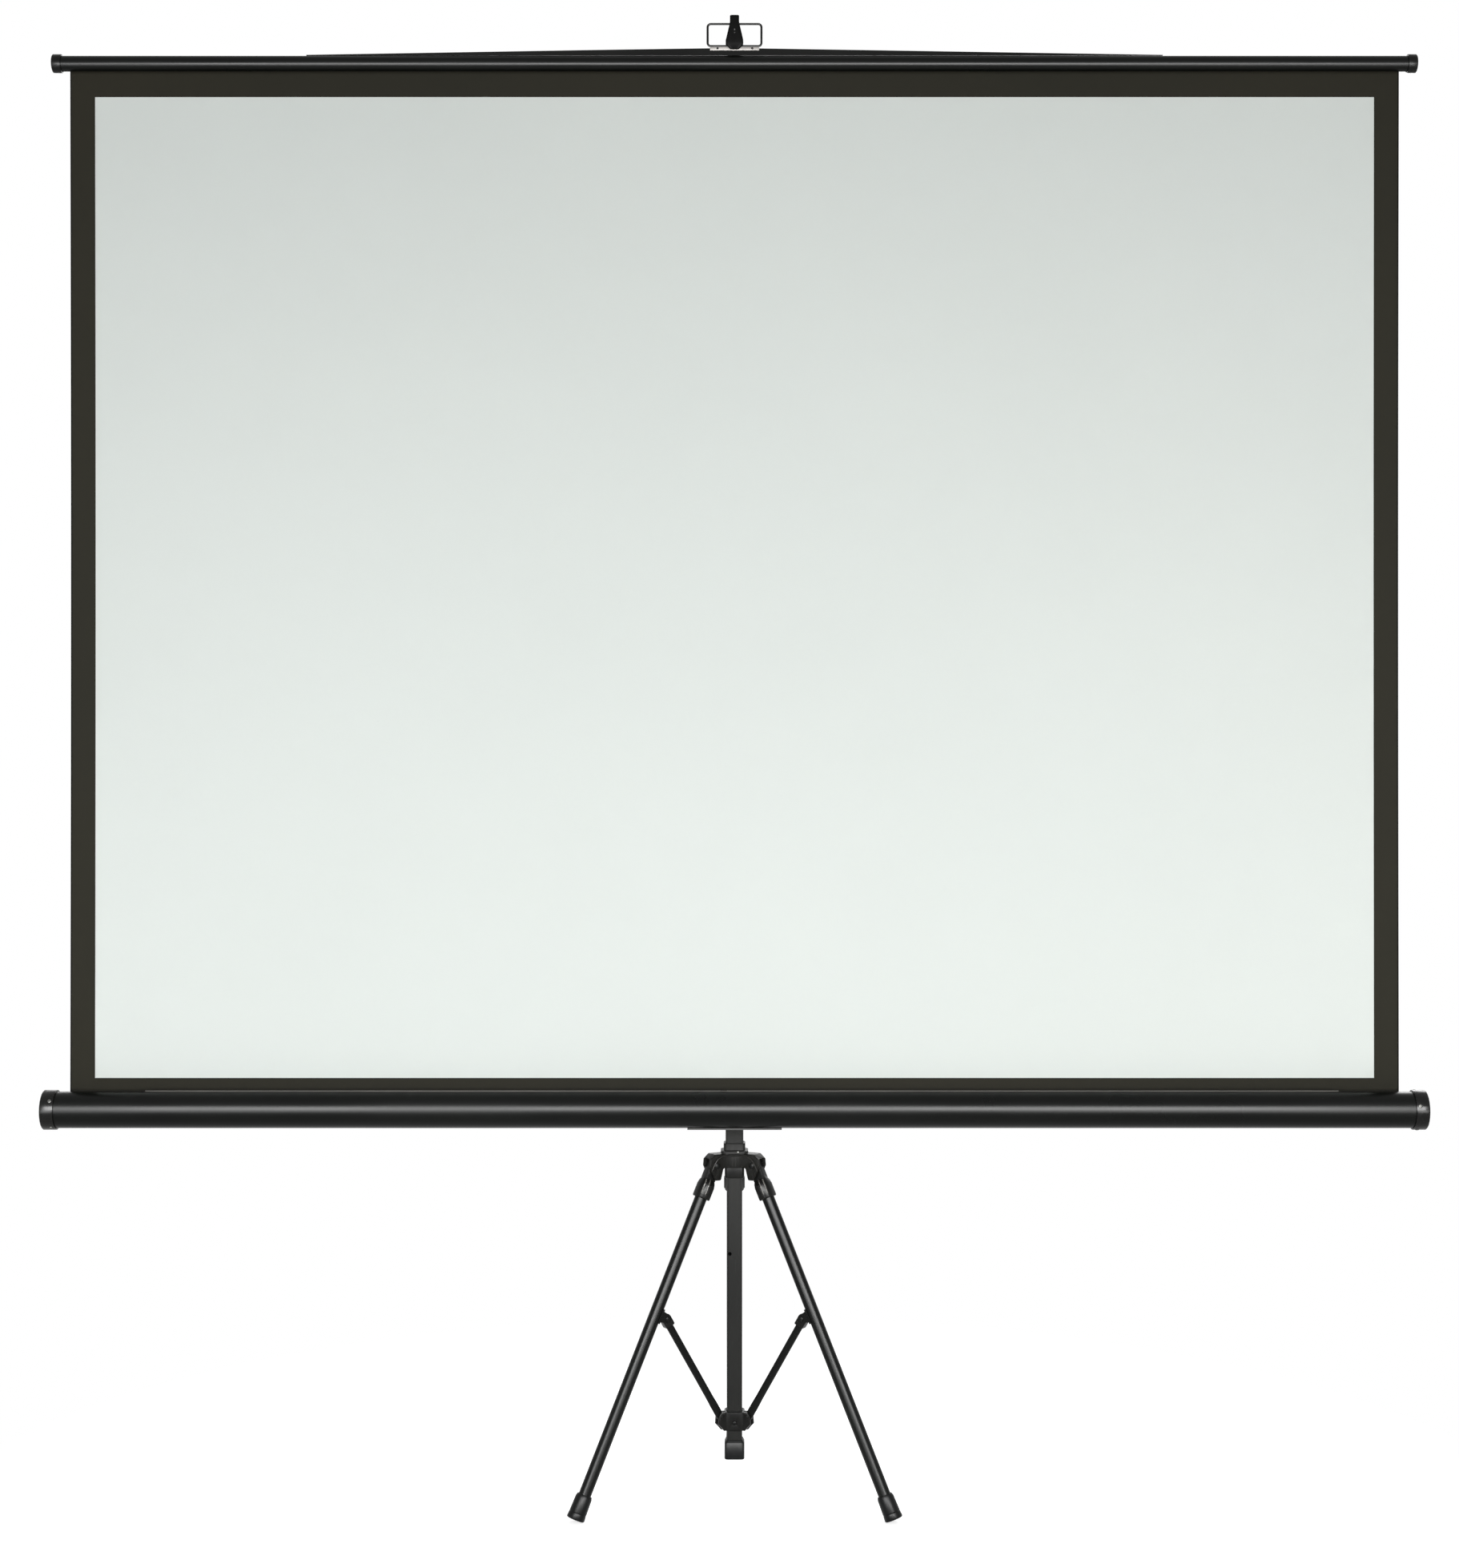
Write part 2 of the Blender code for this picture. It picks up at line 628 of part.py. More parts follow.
def build_hub(stand):
    """Moulded hub: round body, flange, mast socket and three clevises."""
    socket = MAST_WIDTH + 2 * TUBE_FIT + 2 * HUB_SOCKET_WALL
    mesh = cylinder("leg_hub", HUB_RADIUS, HUB_TOP - HUB_BASE - HUB_EDGE, SEGMENTS_LARGE)
    half_facet = 180 * DEG / SEGMENTS_LARGE
    place = (0, 0, (HUB_TOP + HUB_BASE) / 2)
    hub = add_object("leg_hub", mesh, BLACK_PLASTIC, stand, place, (0, 0, half_facet))
    round_edges(hub, HUB_EDGE)
    rings = [
        level_ring(HUB_FLANGE_WIDTH, HUB_FLANGE_WIDTH, 8 * MM, HUB_TOP - HUB_EDGE),
        level_ring(HUB_FLANGE_WIDTH, HUB_FLANGE_WIDTH, 8 * MM, HUB_TOP + HUB_FLANGE_HEIGHT - HUB_EDGE),
        level_ring(socket, socket, 5 * MM, HUB_TOP + HUB_FLANGE_HEIGHT),
        level_ring(socket, socket, 5 * MM, HUB_SOCKET_TOP - HUB_EDGE),
        level_ring(socket - HUB_EDGE, socket - HUB_EDGE, 5 * MM, HUB_SOCKET_TOP),
    ]
    neck = add_object("hub_neck", loft("hub_neck", rings), None, stand)
    join(hub, neck)
    outline = filleted(hub_clevis_outline(), 2.5 * MM, 2)
    mesh = plate("hub_clevis", [outline], HUB_SLOT_WIDTH + 2 * HUB_CHEEK)
    slot_mesh = block("hub_slot", (60 * MM, HUB_SLOT_WIDTH, 80 * MM))
    slot_inner = LEG_PIVOT_RADIUS - LEG_HEAD_EYE_RADIUS - 2 * CLEAR
    slot_top = HUB_TOP - HUB_WEB
    hole_mesh = cylinder("hub_pin_hole", LEG_PIN_RADIUS + CLEAR, 60 * MM, SEGMENTS_SMALL)
    slots = []
    for side, azimuth in LEG_AZIMUTHS.items():
        clevis = add_object(f"hub_clevis_{side}", mesh, None, stand, (0, 0, 0), (90 * DEG, 0, azimuth))
        round_edges(clevis, HUB_EDGE)
        join(hub, clevis)
        turn = add_empty(f"hub_turn_{side}", stand, (0, 0, 0), (0, 0, azimuth))
        place = (slot_inner + 30 * MM, 0, slot_top - 40 * MM)
        slots.append(add_object(f"hub_slot_{side}", slot_mesh, None, turn, place))
        place = (LEG_PIVOT_RADIUS, 0, LEG_PIVOT_HEIGHT)
        slots.append(add_object(f"hub_hole_{side}", hole_mesh, None, turn, place, FACING_FRONT))
    guide_bore = square_bore(
        "hub_guide_bore", guide_width(), HUB_BASE - 20 * MM, HUB_BASE + GUIDE_SEAT, stand
    )
    mast_bore = square_bore("hub_mast_bore", MAST_WIDTH, HUB_BASE + GUIDE_SEAT - CLEAR, MAST_TOP, stand)
    cut(hub, *slots, guide_bore, mast_bore)


def guide_width():
    return POST_WIDTH + 2 * TUBE_FIT + 2 * GUIDE_WALL


def build_post_guide(stand):
    """Bush under the hub that the centre post runs through."""
    width = guide_width()
    top = HUB_BASE + GUIDE_SEAT - CLEAR
    base = top - GUIDE_HEIGHT
    edge = 0.8 * MM
    rings = [
        level_ring(width - 2 * edge, width - 2 * edge, TUBE_CORNER, base),
        level_ring(width, width, TUBE_CORNER, base + edge),
        level_ring(width, width, TUBE_CORNER, top),
    ]
    guide = add_object("post_guide", loft("post_guide", rings), BLACK_PLASTIC, stand)
    cut(guide, square_bore("post_guide_bore", POST_WIDTH, base - 5 * MM, top + 5 * MM, stand))


def pin_profile(radius, half_length, head_radius, head_height):
    """Profile of a riveted pin with a domed head at each end."""
    upper = domed(head_radius, half_length + head_height, head_height * 0.6, 2)
    upper += [(head_radius, half_length), (radius, half_length)]
    lower = [(x, -z) for x, z in reversed(upper)]
    return upper + lower


def build_leg_pins(stand):
    """Rivets that carry the legs in the hub's clevises."""
    half = HUB_SLOT_WIDTH / 2 + HUB_CHEEK + CLEAR
    profile = pin_profile(LEG_PIN_RADIUS, half, LEG_PIN_HEAD_RADIUS, LEG_PIN_HEAD_HEIGHT)
    for side, azimuth in LEG_AZIMUTHS.items():
        radius = LEG_PIVOT_RADIUS
        place = (radius * math.cos(azimuth), radius * math.sin(azimuth), LEG_PIVOT_HEIGHT)
        rotation = (90 * DEG, 0, azimuth)
        turned(f"leg_pin_{side}", profile, DARK_STEEL, SEGMENTS_SMALL, stand, place, rotation)


def build_leg_head(side, leg):
    """Moulded head: a flat eye that swells into an oval socket for the tube."""
    radius = LEG_HEAD_EYE_RADIUS
    outline = arc((0, 0), radius, 0, 180 * DEG, 10) + [(-radius, -LEG_HEAD_NECK), (radius, -LEG_HEAD_NECK)]
    mesh = plate("leg_head", [outline], LEG_HEAD_EYE_WIDTH)
    head = add_object(f"leg_head_{side}", mesh, BLACK_PLASTIC, leg, (0, 0, 0), FACING_FRONT)
    deep, wide = LEG_HEAD_DEPTH, LEG_HEAD_BREADTH
    round_side = deep / 2 - 0.3 * MM
    eye = LEG_HEAD_EYE_WIDTH
    end = LEG_HEAD_LENGTH
    lip = 1.5 * MM
    rings = [
        level_ring(deep - lip, wide - lip, round_side - lip / 2, -end, 4),
        level_ring(deep, wide, round_side, -end + lip, 4),
        level_ring(deep, wide, round_side, -LEG_HEAD_NECK - 10 * MM, 4),
        level_ring(deep - lip, wide - 3 * lip, round_side - lip, -LEG_HEAD_NECK - 4 * MM, 4),
        level_ring(2 * radius + lip, eye, 4 * MM, -LEG_HEAD_NECK + 1 * MM, 4),
        level_ring(2 * radius - lip, eye - lip, 4 * MM, -LEG_HEAD_NECK + 6 * MM, 4),
    ]
    socket = add_object(f"leg_socket_{side}", loft("leg_socket", rings), None, leg)
    rib_base, rib_top = -end + 2 * lip, -LEG_HEAD_NECK - 8 * MM
    rib_size = (LEG_HEAD_RIB_WIDTH, wide + 2 * LEG_HEAD_RIB_HEIGHT, rib_top - rib_base)
    place = (0, 0, (rib_top + rib_base) / 2)
    rib = add_object(f"leg_head_rib_{side}", block("leg_head_rib", rib_size), None, leg, place)
    depth = end - LEG_BORE_START + 10 * MM
    bore_mesh = cylinder("leg_bore", LEG_TUBE_RADIUS + CLEAR, depth, SEGMENTS_MEDIUM)
    bore = add_object(f"leg_bore_{side}", bore_mesh, None, leg, (0, 0, -LEG_BORE_START - depth / 2))
    hole_mesh = cylinder("leg_eye_hole", LEG_PIN_RADIUS + CLEAR, 2 * eye, SEGMENTS_SMALL)
    hole = add_object(f"leg_eye_hole_{side}", hole_mesh, None, leg, (0, 0, 0), FACING_FRONT)
    join(head, socket, rib)
    cut(head, bore, hole)


def build_leg_tube(side, leg):
    top = -LEG_BORE_START - CLEAR
    base = -LEG_REACH + FOOT_FLOOR + CLEAR
    outlines = [
        circle(LEG_TUBE_RADIUS, SEGMENTS_MEDIUM),
        circle(LEG_TUBE_RADIUS - LEG_TUBE_WALL, SEGMENTS_MEDIUM),
    ]
    mesh = plate("leg_tube", outlines, top - base)
    add_object(f"leg_tube_{side}", mesh, BLACK_ENAMEL, leg, (0, 0, (top + base) / 2))


def build_leg_foot(side, leg):
    """Rubber boot, square to the leg, with its inner edge flat on the floor."""
    base = -LEG_REACH
    top = base + FOOT_LENGTH
    bore = LEG_TUBE_RADIUS + CLEAR
    groove = base + FOOT_GROOVE_HEIGHT
    waist = FOOT_GROOVE_DEPTH
    flared = FOOT_RADIUS + FOOT_FLARE
    profile = [
        (0, base + FOOT_FLOOR),
        (bore, base + FOOT_FLOOR),
        (bore, top),
        (FOOT_LIP_RADIUS, top),
        (FOOT_RADIUS - FOOT_FLARE, top - FOOT_SHOULDER),
        (FOOT_RADIUS, groove + waist),
        (FOOT_RADIUS - waist, groove),
        (FOOT_RADIUS, groove - waist),
        (flared, base + 2.5 * MM),
        (flared - 0.8 * MM, base + 0.8 * MM),
        (flared - 3 * MM, base),
        (0, base),
    ]
    foot = turned(f"leg_foot_{side}", profile, BLACK_RUBBER, SEGMENTS_MEDIUM, leg)
    floor_depth = 30 * MM
    mesh = block("floor_cut", (1, 1, floor_depth))
    floor = add_object(f"floor_cut_{side}", mesh, None, None, (0, 0, -floor_depth / 2))
    cut(foot, floor)


def build_brace_bracket(side, leg):
    """Riveted bracket on the leg's inner side: a curved saddle with two ears."""
    inner = LEG_TUBE_RADIUS + CLEAR
    outer = inner + BRACKET_SHEET
    start, end = 180 * DEG - BRACKET_HALF_ARC, 180 * DEG + BRACKET_HALF_ARC
    outline = arc((0, 0), outer, start, end, 10) + arc((0, 0), inner, end, start, 10)
    mesh = plate("brace_bracket", [outline], BRACKET_LENGTH)
    place = (0, 0, -BRACKET_DISTANCE)
    bracket = add_object(f"brace_bracket_{side}", mesh, BLACK_ENAMEL, leg, place)
    slot_width = BRACE_HEAD_THICKNESS + 2 * CLEAR
    slot_top = BRACE_HEAD_RADIUS + 2 * CLEAR
    slot_mesh = block("bracket_slot", (2 * outer, slot_width, BRACKET_LENGTH))
    place = (-outer, 0, slot_top - BRACKET_LENGTH / 2 - BRACKET_DISTANCE)
    cut(bracket, add_object(f"bracket_slot_{side}", slot_mesh, None, leg, place))
    gap = slot_width / 2 + CLEAR
    root = -math.sqrt(inner**2 - gap**2) - BRACKET_SHEET / 4
    half = BRACKET_LENGTH / 2 - 3 * MM
    eye = BRACKET_EYE_RADIUS
    ear = [(root, half)] + arc((-BRACKET_OFFSET, 0), eye, 90 * DEG, 270 * DEG, 8) + [(root, -half)]
    ear_mesh = plate("bracket_ear", [ear], BRACKET_SHEET)
    for sign in (-1, 1):
        tag = f"{side}_{'front' if sign < 0 else 'back'}"
        place = (0, sign * (gap + BRACKET_SHEET / 2), -BRACKET_DISTANCE)
        join(bracket, add_object(f"bracket_ear_{tag}", ear_mesh, None, leg, place, FACING_FRONT))
    hole_mesh = cylinder("bracket_hole", BRACE_PIN_RADIUS + CLEAR, 40 * MM, SEGMENTS_SMALL)
    place = (-BRACKET_OFFSET, 0, -BRACKET_DISTANCE)
    cut(bracket, add_object(f"bracket_hole_{side}", hole_mesh, None, leg, place, FACING_FRONT))
    half_pin = gap + BRACKET_SHEET + CLEAR
    profile = pin_profile(BRACE_PIN_RADIUS, half_pin, BRACE_PIN_HEAD_RADIUS, BRACE_PIN_HEAD_HEIGHT)
    turned(f"brace_pin_{side}", profile, DARK_STEEL, SEGMENTS_SMALL, leg, place, FACING_FRONT)


def build_brace_head(side, brace):
    """Moulded head on the brace's upper end, round about its pin."""
    radius = BRACE_HEAD_RADIUS
    end = BRACE_HEAD_LENGTH
    outline = arc((0, 0), radius, 0, 180 * DEG, 10) + [(-radius, -end), (radius, -end)]
    mesh = plate("brace_head", [outline], BRACE_HEAD_THICKNESS)
    head = add_object(f"brace_head_{side}", mesh, BLACK_PLASTIC, brace, (0, 0, 0), FACING_FRONT)
    round_edges(head, BRACE_HEAD_EDGE)
    depth = end - BRACE_HEAD_BORE_START + 10 * MM
    bore_mesh = cylinder("brace_bore", BRACE_TUBE_RADIUS + CLEAR, depth, SEGMENTS_MEDIUM)
    place = (0, 0, -BRACE_HEAD_BORE_START - depth / 2)
    bore = add_object(f"brace_bore_{side}", bore_mesh, None, brace, place)
    hole_mesh = cylinder("brace_eye_hole", BRACE_PIN_RADIUS + CLEAR, 30 * MM, SEGMENTS_SMALL)
    hole = add_object(f"brace_eye_hole_{side}", hole_mesh, None, brace, (0, 0, 0), FACING_FRONT)
    cut(head, bore, hole)


def brace_ring(height, flat_share, steps=3):
    """One loft ring of the brace: round where flat_share is 0, pressed flat where it is 1."""
    half_x = BRACE_TUBE_RADIUS + (BRACE_END_BREADTH / 2 - BRACE_TUBE_RADIUS) * flat_share
    half_y = BRACE_TUBE_RADIUS + (BRACE_END_THICKNESS / 2 - BRACE_TUBE_RADIUS) * flat_share
    radius = min(half_x, half_y) - 0.2 * MM * flat_share - 0.01 * MM
    return level_ring(2 * half_x, 2 * half_y, radius, height, steps)


def build_brace_tube(side, brace):
    """Steel tube pressed flat at its lower end, where it enters the collar."""
    eye = BRACE_END_BREADTH / 2
    flat_top = -BRACE_LENGTH + BRACE_END_FLAT
    rings = [brace_ring(-BRACE_LENGTH, 1)]
    for i in range(5):
        share = i / 4
        eased = 0.5 + 0.5 * math.cos(share * math.pi)
        rings.append(brace_ring(flat_top + share * BRACE_END_BLEND, eased))
    rings.append(brace_ring(-BRACE_HEAD_BORE_START - CLEAR, 0))
    tube = add_object(f"brace_tube_{side}", loft("brace_tube", rings), BLACK_ENAMEL, brace)
    mesh = cylinder("brace_end", eye, BRACE_END_THICKNESS, SEGMENTS_MEDIUM)
    place = (0, 0, -BRACE_LENGTH)
    join(tube, add_object(f"brace_end_{side}", mesh, None, brace, place, FACING_FRONT))


def collar_lug_outline():
    """Side view of one pair of collar lugs, as (radius from the post, height from the pivot)."""
    reach = COLLAR_PIVOT_RADIUS + COLLAR_LUG_REACH
    inside = POST_WIDTH / 2
    top = COLLAR_ABOVE_PIVOT - COLLAR_EDGE / 2
    base = COLLAR_EDGE / 2 - COLLAR_BELOW_PIVOT
    return [
        (inside, top),
        (reach - 5 * MM, top),
        (reach - 1 * MM, top - 5 * MM),
        (reach, base + 11 * MM),
        (reach - 5 * MM, base + 6 * MM),
        (reach - 10 * MM, base),
        (inside, base),
    ]


def build_collar(post):
    """Collar screwed to the centre post, with a slotted lug for each brace."""
    outer = POST_WIDTH + 2 * TUBE_FIT + 2 * COLLAR_WALL
    height = COLLAR_ABOVE_PIVOT + COLLAR_BELOW_PIVOT
    middle = (COLLAR_ABOVE_PIVOT - COLLAR_BELOW_PIVOT) / 2
    mesh = plate("brace_collar", [rounded_rectangle(outer, outer, 6 * MM)], height)
    collar = add_object("brace_collar", mesh, BLACK_PLASTIC, post, (0, 0, middle))
    round_edges(collar, COLLAR_EDGE)
    slot = BRACE_END_THICKNESS + 2 * CLEAR
    lug_mesh = plate("collar_lug", [collar_lug_outline()], slot + 2 * COLLAR_CHEEK)
    rivet_length = slot + 2 * COLLAR_CHEEK + 2 * COLLAR_RIVET_HEAD
    rivet_mesh = cylinder("collar_rivet", COLLAR_RIVET_RADIUS, rivet_length, SEGMENTS_SMALL)
    slot_reach = 40 * MM
    slot_mesh = block("collar_slot", (slot_reach, slot, 2 * height))
    slots = []
    for side, azimuth in LEG_AZIMUTHS.items():
        lug = add_object(f"collar_lug_{side}", lug_mesh, None, post, (0, 0, 0), (90 * DEG, 0, azimuth))
        turn = add_empty(f"collar_turn_{side}", post, (0, 0, 0), (0, 0, azimuth))
        place = (COLLAR_PIVOT_RADIUS, 0, 0)
        rivet = add_object(f"collar_rivet_{side}", rivet_mesh, None, turn, place, FACING_FRONT)
        join(collar, lug, rivet)
        place = (COLLAR_SLOT_RADIUS + slot_reach / 2, 0, 0)
        slots.append(add_object(f"collar_slot_{side}", slot_mesh, None, turn, place))
    bore = square_bore("collar_bore", POST_WIDTH, -2 * height, 2 * height, post)
    screw_hole = cylinder("collar_screw_hole", COLLAR_SCREW_RADIUS * 0.6 + CLEAR, 20 * MM, SEGMENTS_SMALL)
    place = (0, -outer / 2, -COLLAR_SCREW_DROP)
    hole = add_object("collar_screw_hole", screw_hole, None, post, place, FACING_FRONT)
    cut(collar, *slots, bore, hole)
    head = COLLAR_SCREW_RADIUS
    shank = COLLAR_SCREW_RADIUS * 0.6
    profile = domed(head, COLLAR_SCREW_HEAD + CLEAR, COLLAR_SCREW_HEAD * 0.5, 2)
    profile += [(head, CLEAR), (shank, CLEAR), (shank, CLEAR - COLLAR_WALL), (0, CLEAR - COLLAR_WALL)]
    turned("collar_screw", profile, DARK_STEEL, SEGMENTS_SMALL, post, place, TURNED_TO_FRONT)


def build_post(post):
    """Centre post with the collar and the end cap, measured from the collar's pivots."""
    base = -POST_BELOW_COLLAR
    pivot_line = LEG_PIVOT_HEIGHT - COLLAR_PIVOT_HEIGHT
    top = pivot_line + POST_ABOVE_PIVOT
    tube = square_tube("centre_post", POST_WIDTH, POST_WALL, base, top, BLACK_PAINT, post)
    mesh = cylinder("post_hole", POST_HOLE_RADIUS, 10 * MM, SEGMENTS_SMALL)
    place = (-POST_HOLE_OFFSET, -POST_WIDTH / 2, pivot_line - POST_HOLE_BELOW_PIVOT)
    cut(tube, add_object("post_hole", mesh, None, post, place, FACING_FRONT))
    build_collar(post)
    outer = POST_WIDTH + 2 * TUBE_FIT + 2 * POST_CAP_WALL
    neck = POST_WIDTH + 2 * TUBE_FIT + 1.6 * MM
    floor = base - CLEAR - POST_CAP_FLOOR
    top = floor + POST_CAP_HEIGHT
    shoulder = top - POST_CAP_SHOULDER
    rings = [
        level_ring(outer - 2 * MM, outer - 2 * MM, 4 * MM, floor),
        level_ring(outer, outer, 5 * MM, floor + 1 * MM),
        level_ring(outer, outer, 5 * MM, shoulder),
        level_ring(outer - 1 * MM, outer - 1 * MM, 5 * MM, shoulder + 1 * MM),
        level_ring(neck, neck, 4.5 * MM, top),
    ]
    cap = add_object("post_end_cap", loft("post_end_cap", rings), BLACK_RUBBER, post)
    cut(cap, square_bore("post_cap_bore", POST_WIDTH, floor + POST_CAP_FLOOR, top + 5 * MM, post))


def build_stand(stand):
    build_hub(stand)
    build_post_guide(stand)
    build_leg_pins(stand)
    square_tube("mast_tube", MAST_WIDTH, MAST_WALL, MAST_BASE, MAST_TOP, BLACK_PAINT, stand)
    post = add_empty("post_place", stand, (0, 0, COLLAR_PIVOT_HEIGHT))
    build_post(post)
    for side, azimuth in LEG_AZIMUTHS.items():
        radius = LEG_PIVOT_RADIUS
        place = (radius * math.cos(azimuth), radius * math.sin(azimuth), LEG_PIVOT_HEIGHT)
        leg = add_empty(f"leg_axis_{side}", stand, place, (0, -LEG_ANGLE, azimuth))
        build_leg_head(side, leg)
        build_leg_tube(side, leg)
        build_leg_foot(side, leg)
        build_brace_bracket(side, leg)
        radius = BRACKET_RADIUS_FROM_MAST
        place = (radius * math.cos(azimuth), radius * math.sin(azimuth), BRACKET_HEIGHT)
        brace = add_empty(f"brace_axis_{side}", stand, place, (0, BRACE_ANGLE, azimuth))
        build_brace_head(side, brace)
        build_brace_tube(side, brace)


# Carriage, knobs and handle

def build_knob(name, parent, face, depth, height):
    """Lobed clamp knob on the right-hand side; face is the boss end, depth the stud's tip."""
    lobes = []
    points = KNOB_LOBES * 6
    for i in range(points):
        angle = 360 * DEG * i / points
        radius = KNOB_RADIUS + KNOB_LOBE * math.cos(KNOB_LOBES * angle)
        lobes.append((radius * math.cos(angle), radius * math.sin(angle)))
    axis = add_empty(f"{name}_axis", parent, (face, 0, height), TURNED_TO_RIGHT)
    mesh = plate(name, [lobes], KNOB_THICKNESS)
    place = (0, 0, KNOB_NECK_LENGTH + KNOB_THICKNESS / 2)
    grip = add_object(name, mesh, BLACK_PLASTIC, axis, place)
    round_edges(grip, KNOB_EDGE)
    start = CLEAR
    neck_mesh = cylinder("knob_neck", KNOB_NECK_RADIUS, KNOB_NECK_LENGTH, SEGMENTS_MEDIUM)
    neck = add_object(f"{name}_neck", neck_mesh, None, axis, (0, 0, start + KNOB_NECK_LENGTH / 2))
    stud_length = face - depth + KNOB_NECK_LENGTH
    stud_mesh = cylinder("knob_stud", KNOB_STUD_RADIUS, stud_length, SEGMENTS_SMALL)
    place = (0, 0, KNOB_NECK_LENGTH - stud_length / 2)
    stud = add_object(f"{name}_stud", stud_mesh, None, axis, place)
    join(grip, neck, stud)


def knob_boss(name, parent, wall_face, height):
    """Boss for a clamp knob on the right-hand side, and the cutter of its bore."""
    length = KNOB_BOSS_HEIGHT + 2 * MM
    boss_mesh = cylinder("knob_boss", KNOB_BOSS_RADIUS, length, SEGMENTS_MEDIUM)
    place = (wall_face + KNOB_BOSS_HEIGHT - length / 2, 0, height)
    boss = add_object(f"{name}_boss", boss_mesh, None, parent, place, TURNED_TO_RIGHT)
    bore_mesh = cylinder("knob_bore", KNOB_STUD_RADIUS + CLEAR, 40 * MM, SEGMENTS_SMALL)
    place = (wall_face + KNOB_BOSS_HEIGHT - 5 * MM, 0, height)
    bore = add_object(f"{name}_bore", bore_mesh, None, parent, place, TURNED_TO_RIGHT)
    return boss, bore


def build_slider(stand):
    """Sleeve on the mast with the pivot boss in front and the clamp boss at the right."""
    base, top = SLIDER_BASE, SLIDER_BASE + SLIDER_HEIGHT
    mesh = plate("slider_sleeve", [rounded_rectangle(SLIDER_WIDTH, SLIDER_WIDTH, 6 * MM)], top - base)
    slider = add_object("slider_sleeve", mesh, BLACK_PLASTIC, stand, (0, 0, (base + top) / 2))
    round_edges(slider, SLIDER_EDGE)
    face = SADDLE_PAD_BACK - CLEAR
    root = SLIDER_WIDTH / 2 - 2 * MM
    boss_mesh = cylinder("pivot_boss", PIVOT_BOSS_RADIUS, face - root, SEGMENTS_LARGE)
    place = (0, -(face + root) / 2, CASE_HEIGHT)
    boss = add_object("pivot_boss", boss_mesh, None, stand, place, TURNED_TO_FRONT)
    bore_end = SADDLE_PAD_BACK - PIVOT_SHAFT_DEPTH - 2 * CLEAR
    bore_length = face - bore_end + 10 * MM
    bore_mesh = cylinder("pivot_bore", PIVOT_SHAFT_RADIUS + CLEAR, bore_length, SEGMENTS_MEDIUM)
    place = (0, -bore_end - bore_length / 2, CASE_HEIGHT)
    pivot_bore = add_object("pivot_bore", bore_mesh, None, stand, place, TURNED_TO_FRONT)
    clamp_height = base + SLIDER_KNOB_HEIGHT
    clamp, clamp_bore = knob_boss("slider_knob", stand, SLIDER_WIDTH / 2, clamp_height)
    join(slider, boss, clamp)
    mast_bore = square_bore("slider_bore", MAST_WIDTH, base - 5 * MM, top + 5 * MM, stand)
    cut(slider, mast_bore, pivot_bore, clamp_bore)
    face = SLIDER_WIDTH / 2 + KNOB_BOSS_HEIGHT
    build_knob("slider_knob", stand, face, MAST_WIDTH / 2 + CLEAR, clamp_height)


def build_handle(stand):
    """Carrying handle: a bent bar on two feet behind the sleeve."""
    half = HANDLE_SPAN / 2
    reach = HANDLE_REACH
    corners = [(0, -half), (reach, -half), (reach, half), (0, half)]
    path = [corners[0]]
    for i in (1, 2):
        path += fillet(corners[i - 1], corners[i], corners[i + 1], HANDLE_BEND, 6)
    path.append(corners[3])
    root = SLIDER_WIDTH / 2 + CLEAR
    foot_base = HANDLE_FOOT_HEIGHT / 2
    points = [(0, y + foot_base, z) for y, z in path]
    middle = SLIDER_BASE + HANDLE_ABOVE_SLIDER_BASE
    mesh = rod("carry_handle", points, HANDLE_BAR_RADIUS, 3)
    handle = add_object("carry_handle", mesh, BLACK_PLASTIC, stand, (0, root, middle))
    foot_mesh = block("handle_foot", (HANDLE_FOOT_BREADTH, HANDLE_FOOT_HEIGHT, HANDLE_FOOT_LENGTH))
    for sign in (-1, 1):
        tag = "low" if sign < 0 else "high"
        place = (0, root + HANDLE_FOOT_HEIGHT / 2, middle + sign * half)
        foot = add_object(f"handle_foot_{tag}", foot_mesh, None, stand, place)
        round_edges(foot, 1 * MM)
        join(handle, foot)


